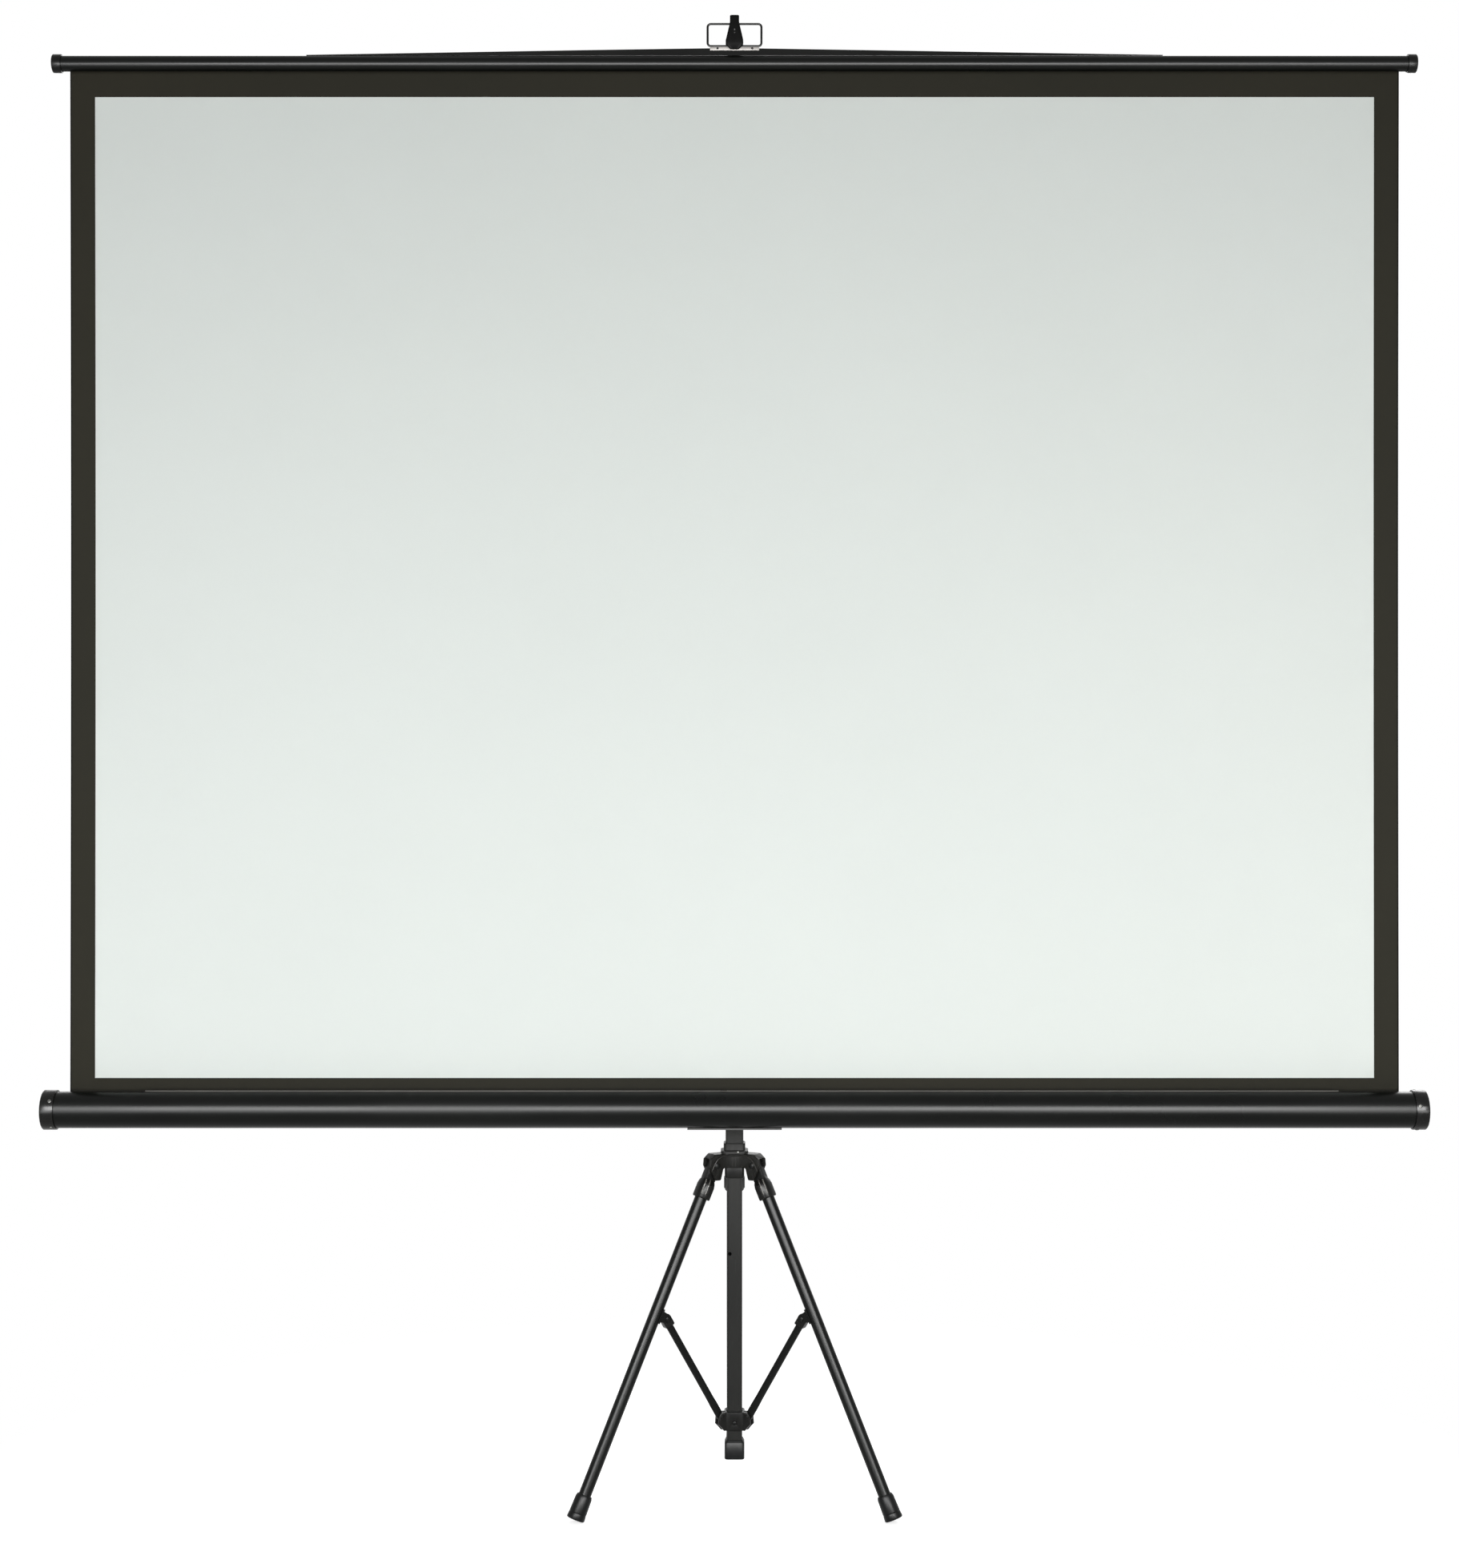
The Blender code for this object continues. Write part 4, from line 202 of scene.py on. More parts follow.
# Floor: its reach, and where its shadows fade to white. World: its even fill. Lamps: name,
# place, target, size, power, colour, and whether only glosses show them
FLOOR_REACH = 12
FADE_START = 0.45
FADE_END = 1.3
FLOOR_GREY = 0.82
FLOOR_LIFT = 0.68
WORLD_FILL = 0.3
WHITE = (1, 1, 1)
COOL = (0.98, 0.995, 1)
WARM = (1, 1, 0.985)
LAMPS = (
    ("softbox_left", (-1.45, -2.6, 0.55), (-0.3, -0.1, 0.75), (1.5, 0.5), 29, COOL, False),
    ("softbox_right", (1.45, -2.6, 0.55), (0.3, -0.1, 0.75), (1.5, 0.5), 31, WARM, False),
    ("strip_high", (0, -2.9, 1.75), (0, -0.1, 0.7), (4.2, 0.14), 14, WHITE, False),
    ("gloss_strip", (0, -3.2, 1.42), (0, -0.1, 0.6), (4.2, 1.1), 580, WHITE, True),
    ("softbox_back", (0.9, 3.1, 2.4), (0, 0, 1.1), (3.4, 1.8), 100, WHITE, False),
    ("gloss_strip_back", (-0.4, 3.4, 2.4), (0, 0, 0.9), (3.6, 0.4), 32, WHITE, True),
)


# Node helpers
def new_material(name):
    material = bpy.data.materials.new(name)
    material.use_nodes = True
    return material, material.node_tree, material.node_tree.nodes["Principled BSDF"]


def add_node(tree, kind, settings=(), inputs=()):
    """Adds a node; an input that is a socket is linked, any other is set."""
    made = tree.nodes.new(kind)
    for key, value in dict(settings).items():
        setattr(made, key, value)
    for key, value in dict(inputs).items():
        if isinstance(value, bpy.types.NodeSocket):
            tree.links.new(value, made.inputs[key])
        else:
            made.inputs[key].default_value = value
    return made


def coordinates(tree, stretch=(1, 1, 1)):
    place = add_node(tree, "ShaderNodeTexCoord").outputs["Object"]
    scaled = add_node(tree, "ShaderNodeMapping", inputs={"Vector": place, "Scale": stretch})
    return scaled.outputs["Vector"]


def noise_of(tree, vector, scale, detail=2.0):
    inputs = {"Vector": vector, "Scale": scale, "Detail": detail, "Roughness": 0.5}
    return add_node(tree, "ShaderNodeTexNoise", inputs=inputs).outputs["Fac"]


def remap(tree, value, low, high, to_low, to_high):
    inputs = {
        "Value": value, "From Min": low, "From Max": high, "To Min": to_low, "To Max": to_high
    }
    return add_node(tree, "ShaderNodeMapRange", inputs=inputs).outputs["Result"]


def from_noise(tree, noise, to_low=0, to_high=1):
    """Stretches the range that a noise mostly stays in to the one that is wanted."""
    return remap(tree, noise, 0.3, 0.7, to_low, to_high)


def math_of(tree, operation, first, second):
    made = add_node(tree, "ShaderNodeMath", {"operation": operation}, {0: first, 1: second})
    return made.outputs["Value"]


def tinted(colour, factor):
    return tuple(min(1, c * factor) for c in colour)


def mix_colours(tree, share, first, second):
    made = add_node(tree, "ShaderNodeMix", {"data_type": "RGBA"})
    for key, value in ((0, share), (6, first), (7, second)):
        if isinstance(value, bpy.types.NodeSocket):
            tree.links.new(value, made.inputs[key])
        else:
            made.inputs[key].default_value = (*value, 1) if isinstance(value, tuple) else value
    return made.outputs[2]


def bump(tree, shader, height, strength, distance):
    inputs = {"Height": height, "Strength": strength, "Distance": distance}
    made = add_node(tree, "ShaderNodeBump", inputs=inputs)
    tree.links.new(made.outputs["Normal"], shader.inputs["Normal"])


def specks(tree, vector, scale, size):
    """Sparse small dots, one or none in each cell."""
    inputs = {"Vector": vector, "Scale": scale, "Randomness": 1.0}
    cells = add_node(tree, "ShaderNodeTexVoronoi", inputs=inputs)
    dots = remap(tree, cells.outputs["Distance"], size, size * 0.5, 0, 1)
    chosen = remap(tree, noise_of(tree, vector, scale * 0.37), 0.58, 0.6, 0, 1)
    return math_of(tree, "MULTIPLY", dots, chosen)


# Finishes
def coated_metal(name, colour, worn, roughness, grain, grain_depth, gloss=0.1):
    """Paint or enamel: cloudy tone, fine grain, and specks and streaks of a worn colour."""
    material, tree, shader = new_material(name)
    vector = coordinates(tree)
    cloudy = noise_of(tree, vector, 4.0, 4.0)
    fine = noise_of(tree, vector, grain, 3.0)
    streaks = noise_of(tree, coordinates(tree, (60, 60, 2.5)), 9.0, 5.0)
    scuffed = remap(tree, streaks, 0.68, 0.76, 0, 0.16)
    dusty = math_of(tree, "MAXIMUM", specks(tree, vector, 55.0, 0.035), scuffed)
    shade = mix_colours(tree, from_noise(tree, cloudy), tinted(colour, 0.85), tinted(colour, 1.2))
    tree.links.new(mix_colours(tree, dusty, shade, worn), shader.inputs["Base Color"])
    rough = from_noise(tree, cloudy, roughness - 0.04, roughness + 0.05)
    rougher = math_of(tree, "ADD", rough, math_of(tree, "MULTIPLY", dusty, 0.2))
    tree.links.new(rougher, shader.inputs["Roughness"])
    shader.inputs["Specular IOR Level"].default_value = gloss
    bump(tree, shader, fine, 0.12, grain_depth)
    return material


def moulded(name, colour, roughness, grain, grain_depth, gloss=0.1):
    """Plastic or rubber: cloudy tone, flow marks in its gloss, fine grain and light dust."""
    material, tree, shader = new_material(name)
    vector = coordinates(tree)
    cloudy = noise_of(tree, vector, 18.0, 4.0)
    fine = noise_of(tree, vector, grain, 2.0)
    flow = noise_of(tree, coordinates(tree, (1, 1, 0.15)), 90.0, 3.0)
    shade = mix_colours(tree, from_noise(tree, cloudy), tinted(colour, 0.8), tinted(colour, 1.3))
    dusty = math_of(tree, "MULTIPLY", specks(tree, vector, 140.0, 0.04), 0.5)
    speckled = mix_colours(tree, dusty, shade, tinted(colour, 8))
    tree.links.new(speckled, shader.inputs["Base Color"])
    rough = from_noise(tree, flow, roughness - 0.03, roughness + 0.05)
    tree.links.new(rough, shader.inputs["Roughness"])
    shader.inputs["Specular IOR Level"].default_value = gloss
    bump(tree, shader, fine, 0.14, grain_depth)
    return material


def bare_metal(name, colour, roughness, stretch, grain):
    """Metal brushed along the axis that stretch leaves long."""
    material, tree, shader = new_material(name)
    vector = coordinates(tree)
    brushed = noise_of(tree, coordinates(tree, stretch), grain, 4.0)
    cloudy = noise_of(tree, vector, 30.0, 4.0)
    shade = mix_colours(tree, from_noise(tree, cloudy), tinted(colour, 0.82), tinted(colour, 1.1))
    dull = math_of(tree, "MULTIPLY", remap(tree, brushed, 0.35, 0.75, 0, 1), 0.3)
    tree.links.new(mix_colours(tree, dull, shade, tinted(colour, 0.6)), shader.inputs["Base Color"])
    rough = from_noise(tree, brushed, roughness - 0.07, roughness + 0.1)
    tree.links.new(rough, shader.inputs["Roughness"])
    shader.inputs["Metallic"].default_value = 1.0
    bump(tree, shader, brushed, 0.2, 0.05 * MM)
    return material


def woven(name, colour, second, roughness, thread=1.1 * MM, depth=0.1 * MM):
    """Cloth: threads that cross, painted shade between them, a fine nap and a slow change of tone.
    """
    material, tree, shader = new_material(name)
    place = add_node(tree, "ShaderNodeTexCoord").outputs["UV"]
    turns = 2 * math.pi / thread
    parts = add_node(tree, "ShaderNodeSeparateXYZ", inputs={"Vector": place})
    across, along = (
        math_of(tree, "SINE", math_of(tree, "MULTIPLY", parts.outputs[axis], turns), 0.0)
        for axis in ("X", "Y")
    )
    weave = math_of(tree, "MULTIPLY", across, along)
    nap = noise_of(tree, place, 1.3 / thread, 2.0)
    height = math_of(tree, "ADD", math_of(tree, "MULTIPLY", weave, 0.5), nap)
    tone = noise_of(tree, place, 1.6, 3.0)
    shade = mix_colours(tree, from_noise(tree, tone), colour, second)
    marked = math_of(tree, "MULTIPLY", specks(tree, place, 6.0, 0.012), 0.5)
    speckled = mix_colours(tree, marked, shade, tinted(colour, 0.5))
    # Painted shade: darker where the weave and nap are low
    painted_hollow_shade = remap(tree, height, 0, 1.2, 0.06, 0)
    threads = mix_colours(tree, painted_hollow_shade, speckled, tinted(colour, 0.7))
    tree.links.new(threads, shader.inputs["Base Color"])
    rough = from_noise(tree, nap, roughness - 0.05, roughness + 0.05)
    tree.links.new(rough, shader.inputs["Roughness"])
    shader.inputs["Specular IOR Level"].default_value = 0.04
    bump(tree, shader, height, 0.3, depth)
    return material


FINISHES = {
    "black_paint": coated_metal(
        "satin_black_tube", (0.009, 0.0092, 0.008), (0.07, 0.07, 0.062), 0.42, 900, 0.03 * MM, 0.09
    ),
    "black_enamel": coated_metal(
        "gloss_black_tube", (0.003, 0.0035, 0.003), (0.03, 0.03, 0.027), 0.3, 700, 0.01 * MM
    ),
    "black_plastic": moulded("black_moulding", (0.006, 0.006, 0.0055), 0.31, 1400, 0.02 * MM),
    "black_rubber": moulded("black_rubber_foot", (0.004, 0.0045, 0.0045), 0.36, 1100, 0.05 * MM),
    "zinc": bare_metal("zinc_sheet", (0.155, 0.148, 0.142), 0.55, (1, 8, 8), 160),
    "dark_steel": coated_metal(
        "blackened_steel", (0.004, 0.0045, 0.004), (0.03, 0.03, 0.028), 0.34, 900, 0.02 * MM
    ),
    "bright_steel": bare_metal("plain_steel", (0.52, 0.52, 0.51), 0.32, (8, 1, 1), 200),
    "grey_plastic": moulded("grey_moulding", (0.28, 0.28, 0.27), 0.5, 1400, 0.05 * MM),
}
SCREW_STEEL = bare_metal("screw_steel", (0.085, 0.085, 0.08), 0.42, (8, 1, 1), 200)
SCREEN_WHITE = woven("matt_white_cloth", (0.714, 0.754, 0.724), (0.728, 0.768, 0.738), 0.85)
SCREEN_BLACK = woven("black_cloth_border", (0.0195, 0.0187, 0.0125), (0.0245, 0.0225, 0.0145), 0.7)
SCREEN_BACK = woven("black_cloth_back", (0.027, 0.027, 0.026), (0.033, 0.033, 0.032), 0.8)
# Darker cloth for the outermost side strips: painted shade of the curled edge
SCREEN_EDGE_SHADE = woven("side_edge_painted_shade", (0.004, 0.004, 0.003), (0.006, 0.006, 0.005), 0.8)
FINISHES["screen_cloth"] = SCREEN_BACK
CAP_BLACK = moulded("glossy_end_cap", (0.006, 0.006, 0.0055), 0.22, 1400, 0.005 * MM, 0.15)
HUB_BLACK = moulded("hub_moulding", (0.011, 0.0108, 0.0097), 0.42, 1400, 0.02 * MM, 0.045)
# Darker copy of the black moulding for the hook: painted shade
HOOK_SHADED_BLACK = moulded("hook_moulding_painted_shade", (0.0022, 0.0022, 0.002), 0.42, 1400, 0.02 * MM, 0.035)
# Light finish of the slot's lip and the leg-head ribs: painted highlight
HIGHLIGHT_EDGE = coated_metal(
    "painted_highlight_edge", (0.12, 0.113, 0.102), (0.17, 0.16, 0.145), 0.3, 700, 0.01 * MM, 0.4
)
# Lighter finish of the hub's rim and mould lines: painted highlight
RIM_HIGHLIGHT = moulded("painted_rim_highlight", (0.024, 0.023, 0.021), 0.3, 1400, 0.02 * MM)

# Nodes with a finish of their own, and the width of the bevel on each slot's sharp edges
OWN_FINISH = {
    "case_cap_left": CAP_BLACK,
    "case_cap_right": CAP_BLACK,
    "leg_hub": HUB_BLACK,
    "pole_hook": HOOK_SHADED_BLACK,
}
BEVELS = {
    "black_plastic": 0.5 * MM,
    "black_rubber": 0.6 * MM,
    "bright_steel": 0.2 * MM,
    "zinc": 0.2 * MM,
}


# CAD nodes: clean shading from modifiers, and the finish of their material slot
def shading_group():
    """Drops the stored normals, shades smooth, and keeps the edges sharper than an angle."""
    group = bpy.data.node_groups.new("shading_by_angle", "GeometryNodeTree")
    for way in ("INPUT", "OUTPUT"):
        group.interface.new_socket("Geometry", in_out=way, socket_type="NodeSocketGeometry")
    start = group.nodes.new("NodeGroupInput").outputs[0]
    bare = add_node(
        group, "GeometryNodeRemoveAttribute", inputs={"Geometry": start, "Name": "custom_normal"}
    )
    smooth = add_node(
        group,
        "GeometryNodeSetShadeSmooth",
        inputs={"Geometry": bare.outputs["Geometry"], "Shade Smooth": True},
    )
    angle = group.nodes.new("GeometryNodeInputMeshEdgeAngle").outputs["Unsigned Angle"]
    steep = add_node(
        group,
        "FunctionNodeCompare",
        {"operation": "GREATER_THAN"},
        {0: angle, 1: math.radians(NODE_SHARP_ANGLE)},
    )
    sharp = add_node(
        group,
        "GeometryNodeSetShadeSmooth",
        {"domain": "EDGE"},
        {
            "Geometry": smooth.outputs["Geometry"],
            "Selection": steep.outputs["Result"],
            "Shade Smooth": False,
        },
    )
    end = group.nodes.new("NodeGroupOutput")
    group.links.new(sharp.outputs["Geometry"], end.inputs[0])
    return group


SHADING = shading_group()


def dress(node, bevel):
    """Welds the node's facets, rounds its sharp edges a little and shades the rest smooth."""
    weld = node.modifiers.new("weld", "WELD")
    weld.merge_threshold = WELD_DISTANCE
    flat = node.modifiers.new("flat", "DECIMATE")
    flat.decimate_type = "DISSOLVE"
    flat.angle_limit = math.radians(FLAT_ANGLE)
    if bevel:
        rounded = node.modifiers.new("rounded", "BEVEL")
        rounded.width = bevel
        rounded.segments = 2
        rounded.limit_method = "ANGLE"
        rounded.angle_limit = math.radians(BEVEL_ANGLE)
    group = node.modifiers.new("shading", "NODES")
    group.node_group = SHADING


for name, node in nodes.items():
    slot = node.material_slots[0].material.name.split(".")[0]
    node.material_slots[0].material = OWN_FINISH.get(name, FINISHES[slot])
    dress(node, BEVELS.get(slot, 0.0))


# Helpers for the meshes made here
def spread(stops, counts):
    """Evenly spaced values between each two stops, the stops among them."""
    values = []
    for low, high, count in zip(stops, stops[1:], counts):
        values += [low + (high - low) * i / count for i in range(count)]
    return values + [stops[-1]]


def in_metres(profile):
    """Points that are given in millimetres."""
    return [tuple(value * MM for value in point) for point in profile]


def link_mesh(name, work, materials):
    """Turns a bmesh into an object of the scene."""
    mesh = bpy.data.meshes.new(name)
    work.to_mesh(mesh)
    work.free()
    for material in materials:
        mesh.materials.append(material)
    made = bpy.data.objects.new(name, mesh)
    SCENE.collection.objects.link(made)
    return made


def add_piece(name, work, slot, body, finish=None):
    """Makes a piece of a bmesh that is already in place, and lets it ride on a body."""
    sharp = math.radians(PIECE_SHARP_ANGLE)
    bmesh.ops.recalc_face_normals(work, faces=work.faces)
    for face in work.faces:
        face.smooth = True
    for line in work.edges:
        if len(line.link_faces) == 2 and line.calc_face_angle(0) > sharp:
            line.smooth = False
    piece = link_mesh(name, work, [finish or FINISHES[slot]])
    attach(piece, body)


def placing(place, facing, turn=0.0):
    """Puts a shape's own z axis along facing, at place."""
    rotation = Vector(facing).to_track_quat("Z", "Y").to_matrix().to_4x4()
    return Matrix.Translation(place) @ rotation @ Matrix.Rotation(turn, 4, "Z")


def around(count):
    """Angles of a full turn in equal steps."""
    return [2 * math.pi * i / count for i in range(count)]


def join_rings(work, first, second, count):
    """Faces between two rings of points; a ring may be a single point."""
    for i in range(count):
        j = (i + 1) % count
        corners = [first[i % len(first)], first[j % len(first)]]
        corners += [second[j % len(second)], second[i % len(second)]]
        work.faces.new([v for k, v in enumerate(corners) if v not in corners[:k]])


def revolve(work, profile, matrix, segments=24):
    """Turns (radius, height) points round z; a radius of 0 closes the shape in one point."""
    rings = []
    for radius, height in profile:
        turns = around(segments) if radius else [0.0]
        points = [(radius * math.cos(t), radius * math.sin(t), height) for t in turns]
        rings.append([work.verts.new(matrix @ Vector(point)) for point in points])
    for first, second in zip(rings, rings[1:]):
        join_rings(work, first, second, segments)


def screw_head(work, radius, height, matrix):
    """Pan head with a cross recess."""
    spokes = 32
    recess_half, recess_reach, recess_depth = 0.13, 0.58, 0.55
    rings = []
    for share in (0.0, 0.1, 0.2, 0.3, 0.4, 0.5, 0.62, 0.76, 0.88, 0.96, 1.0):
        ring = []
        for turn in around(spokes if share else 1):
            x, y = share * math.cos(turn), share * math.sin(turn)
            top = height * math.sqrt(max(0.0, 1 - share**4)) * (1 - 0.15 * share**2)
            if min(abs(x), abs(y)) < recess_half and max(abs(x), abs(y)) < recess_reach:
                top -= height * recess_depth * (1 - 0.6 * share)
            ring.append(work.verts.new(matrix @ Vector((radius * x, radius * y, top))))
        rings.append(ring)
    for first, second in zip(rings, rings[1:]):
        join_rings(work, first, second, spokes)
    work.faces.new(rings[-1])


def rivet_head(work, radius, height, matrix):
    arc = [(radius * math.sin(a), height * math.cos(a)) for a in (0, 0.3, 0.6, 0.9, 1.2, 1.45)]
    revolve(work, arc + [(radius, 0), (0, 0)], matrix, 20)


def bead(work, points, radius, sides=8, closed=False):
    """Round bead along a line of points."""
    count = len(points)
    askew = Vector((0.31, 0.17, 0.93))
    rings = []
    for i, point in enumerate(points):
        before = points[i - 1] if closed or i else points[0]
        after = points[(i + 1) % count] if closed or i < count - 1 else points[-1]
        along = (Vector(after) - Vector(before)).normalized()
        across = along.cross(askew).normalized()
        other = along.cross(across).normalized()
        outward = [math.cos(t) * across + math.sin(t) * other for t in around(sides)]
        rings.append([work.verts.new(Vector(point) + radius * way) for way in outward])
    for first, second in zip(rings, rings[1:] + ([rings[0]] if closed else [])):
        join_rings(work, first, second, sides)
    if not closed:
        work.faces.new(rings[0])
        work.faces.new(rings[-1][::-1])


def front_points(node, stops, step=1.5 * MM):
    """Points of a front-view line of (x, height) stops, laid on a node from the front."""
    mesh = nodes[node].data
    corners = [vertex.co for vertex in mesh.vertices]
    tree = BVHTree.FromPolygons(corners, [list(face.vertices) for face in mesh.polygons])
    found = []
    for (x0, z0), (x1, z1) in zip(stops, stops[1:]):
        count = max(1, round(math.hypot(x1 - x0, z1 - z0) / step))
        for i in range(count + 1):
            share = i / count
            start = Vector((x0 + (x1 - x0) * share, -1, z0 + (z1 - z0) * share))
            hit = tree.ray_cast(start, Vector((0, 1, 0)))[0]
            if hit is not None and (not found or (hit - found[-1]).length > step / 4):
                found.append(hit)
    return found


def deeper(points, depth):
    """Moves points away from the front."""
    return [point + Vector((0, depth, 0)) for point in points]


# Screen cloth
def cloth_depth(x, z):
    """How far the stretched cloth stands off its plane: slow waves, side edges that curl back."""
    height = (z - CLOTH_BOTTOM) / (CLOTH_TOP - CLOTH_BOTTOM)
    held = math.sin(math.pi * height)
    side = abs(x) / CLOTH_HALF
    curl = EDGE_CURL * held * max(0.0, side - CURL_START) / (1 - CURL_START)
    wide = WIDE_WAVE * held * math.sin(2.2 * math.pi * side + 1.5 * height)
    slow = SLOW_WAVE * held * math.sin(5.1 * x + 0.8)
    return curl + wide + slow


def make_cloth():
    """One closed sheet: white front, black border, painted shade at the side edges, black back."""
    white, black, back, edge_shade = range(4)
    edge = CLOTH_HALF - EDGE_SHADE_WIDTH
    xs = spread((-CLOTH_HALF, -edge, -WHITE_HALF, WHITE_HALF, edge, CLOTH_HALF), (1, 4, 90, 4, 1))
    zs = spread((CLOTH_BOTTOM, WHITE_BOTTOM, WHITE_TOP, CLOTH_TOP), (6, 70, 6))
    rows, columns = range(len(zs) - 1), range(len(xs) - 1)
    work = bmesh.new()
    uv = work.loops.layers.uv.new("UVMap")
    grids = []
    for side in (-1, 1):
        offset = CLOTH_Y + side * CLOTH_THICKNESS / 2
        grid = [[work.verts.new((x, offset + cloth_depth(x, z), z)) for x in xs] for z in zs]
        grids.append(grid)
        for i in rows:
            for j in columns:
                corners = [grid[i][j], grid[i][j + 1], grid[i + 1][j + 1], grid[i + 1][j]]
                face = work.faces.new(corners if side < 0 else corners[::-1])
                face.smooth = True
                x, z = abs(xs[j] + xs[j + 1]) / 2, (zs[i] + zs[i + 1]) / 2
                inside = x < WHITE_HALF and WHITE_BOTTOM < z < WHITE_TOP
                # The outermost side strips take the darker cloth, painted shade of the curled edge
                printed = edge_shade if x > edge else white if inside else black
                face.material_index = back if side > 0 else printed
    front, rear = grids
    rim = [(front[i][0], front[i + 1][0], rear[i + 1][0], rear[i][0]) for i in rows]
    rim += [(front[i + 1][-1], front[i][-1], rear[i][-1], rear[i + 1][-1]) for i in rows]
    rim += [(front[0][j + 1], front[0][j], rear[0][j], rear[0][j + 1]) for j in columns]
    rim += [(front[-1][j], front[-1][j + 1], rear[-1][j + 1], rear[-1][j]) for j in columns]
    for corners in rim:
        work.faces.new(corners).material_index = black
    bmesh.ops.recalc_face_normals(work, faces=work.faces)
    for face in work.faces:
        for loop in face.loops:
            loop[uv].uv = (loop.vert.co.x, loop.vert.co.z)
    finishes = [SCREEN_WHITE, SCREEN_BLACK, SCREEN_BACK, SCREEN_EDGE_SHADE]
    cloth = link_mesh("screen_fabric", work, finishes)
    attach(cloth, "case")
    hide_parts("screen_cloth")
    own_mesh(cloth)


# Turns of cloth left on the roller
def make_wound_cloth():
    """One spiral ribbon that ends where the hanging cloth leaves the roller."""
    back, black = range(2)
    steps = WOUND_TURNS * WOUND_STEPS
    pitch = (WOUND_OUTER - WOUND_INNER) / (WOUND_TURNS + 1)
    thickness = WOUND_FILL * pitch
    low, high = WOUND_INNER + pitch / 2, WOUND_OUTER - pitch / 2
    work = bmesh.new()
    uv = work.loops.layers.uv.new("UVMap")
    rows, length = [], 0.0
    for i in range(steps + 1):
        turn_radius = low + (high - low) * i / steps
        angle = 2 * math.pi * WOUND_TURNS * (i / steps - 1)
        length += turn_radius * 2 * math.pi / WOUND_STEPS if i else 0
        row = []
        for radius in (turn_radius - thickness / 2, turn_radius + thickness / 2):
            y, z = CASE_Y + radius * math.cos(angle), CASE_HEIGHT + radius * math.sin(angle)
            row += [(work.verts.new((x, y, z)), length) for x in (-CLOTH_HALF, CLOTH_HALF)]
        rows.append(row)
    for first, second in zip(rows, rows[1:]):
        for a, b, finish in ((0, 1, black), (3, 2, back), (1, 3, black), (2, 0, black)):
            corners = (first[a], first[b], second[b], second[a])
            face = work.faces.new([corner[0] for corner in corners])
            face.smooth = True
            face.material_index = finish
            for loop, corner in zip(face.loops, corners):
                loop[uv].uv = (corner[0].co.x, corner[1])
    for row in (rows[0], rows[-1]):
        work.faces.new([row[k][0] for k in (0, 1, 3, 2)])
    bmesh.ops.recalc_face_normals(work, faces=work.faces)
    roll = link_mesh("wound_fabric", work, [SCREEN_BACK, SCREEN_BLACK])
    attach(roll, "roller")
    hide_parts("wound_cloth")


# Case: screws and pins of the end caps, lip of the slot as a painted highlight, rivets of the
# saddle
def on_case(x, radius, outward):
    """A point at a radius from the case's axis."""
    return (x, CASE_Y + radius * outward[1], CASE_HEIGHT + radius * outward[2])


def make_case_details():
    for side, tag in ((-1, "left"), (1, "right")):
        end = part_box(f"case_cap_{tag}")[side > 0].x
        work = bmesh.new()
        for angle in CAP_SCREW_ANGLES[tag]:
            turn = math.radians(angle)
            outward = (0, -math.cos(turn), math.sin(turn))
            place = on_case(end - side * CAP_SCREW_INSET, CAP_SCREW_RADIUS, outward)
            screw_head(work, *CAP_SCREW, placing(place, outward, turn=0.4))
        add_piece(f"case_cap_screws_{tag}", work, "bright_steel", "case", SCREW_STEEL)
        work = bmesh.new()
        matrix = placing((end - side * 2 * SEAT, CASE_Y, CASE_HEIGHT), (side, 0, 0))
        revolve(work, in_metres(CAP_PIN), matrix, 28)
        add_piece(f"case_cap_pin_{tag}", work, "dark_steel", "case")
    # The slot's lip is a light bead that paints a highlight along the top of the case
    work = bmesh.new()
    lip = [(x, CASE_Y + LIP_BACK, CASE_HEIGHT + LIP_RISE) for x in spread(LIP_ENDS, (60,))]
    bead(work, lip, LIP_RADIUS)
    add_piece("case_slot_lip_highlight", work, "black_enamel", "case", HIGHLIGHT_EDGE)
    work = bmesh.new()
    for x in (-SADDLE_RIVET_X, SADDLE_RIVET_X):
        for angle in SADDLE_RIVET_ANGLES:
            turn = math.radians(angle)
            outward = (0, math.cos(turn), math.sin(turn))
            place = on_case(x, SADDLE_RADIUS, outward)
            rivet_head(work, *SADDLE_RIVET, placing(place, outward))
    add_piece("saddle_rivets", work, "dark_steel", "case")


# Hub: rim of its front web and mould lines as painted highlights, and the rivet on its flange
def make_hub_details():
    work = bmesh.new()
    rim = front_points("leg_hub", in_metres(HUB_RIM))
    bead(work, deeper(rim, -HUB_RIM_PROUD), HUB_RIM_RADIUS)
    for stops in MOULD_LINES:
        line = front_points("leg_hub", in_metres(stops), 2 * MM)
        bead(work, deeper(line, MOULD_LINE_SUNK), MOULD_LINE_RADIUS, 6)
    # Rim and mould lines take the lighter finish: painted highlight
    add_piece("hub_rim", work, "black_plastic", "mast", RIM_HIGHLIGHT)
    work = bmesh.new()
    spot = deeper(front_points("leg_hub", in_metres(HUB_RIVET_PLACE)), SEAT)[0]
    rivet_head(work, *HUB_RIVET, placing(spot, (0, -1, 0)))
    add_piece("hub_rivet", work, "bright_steel", "mast", SCREW_STEEL)


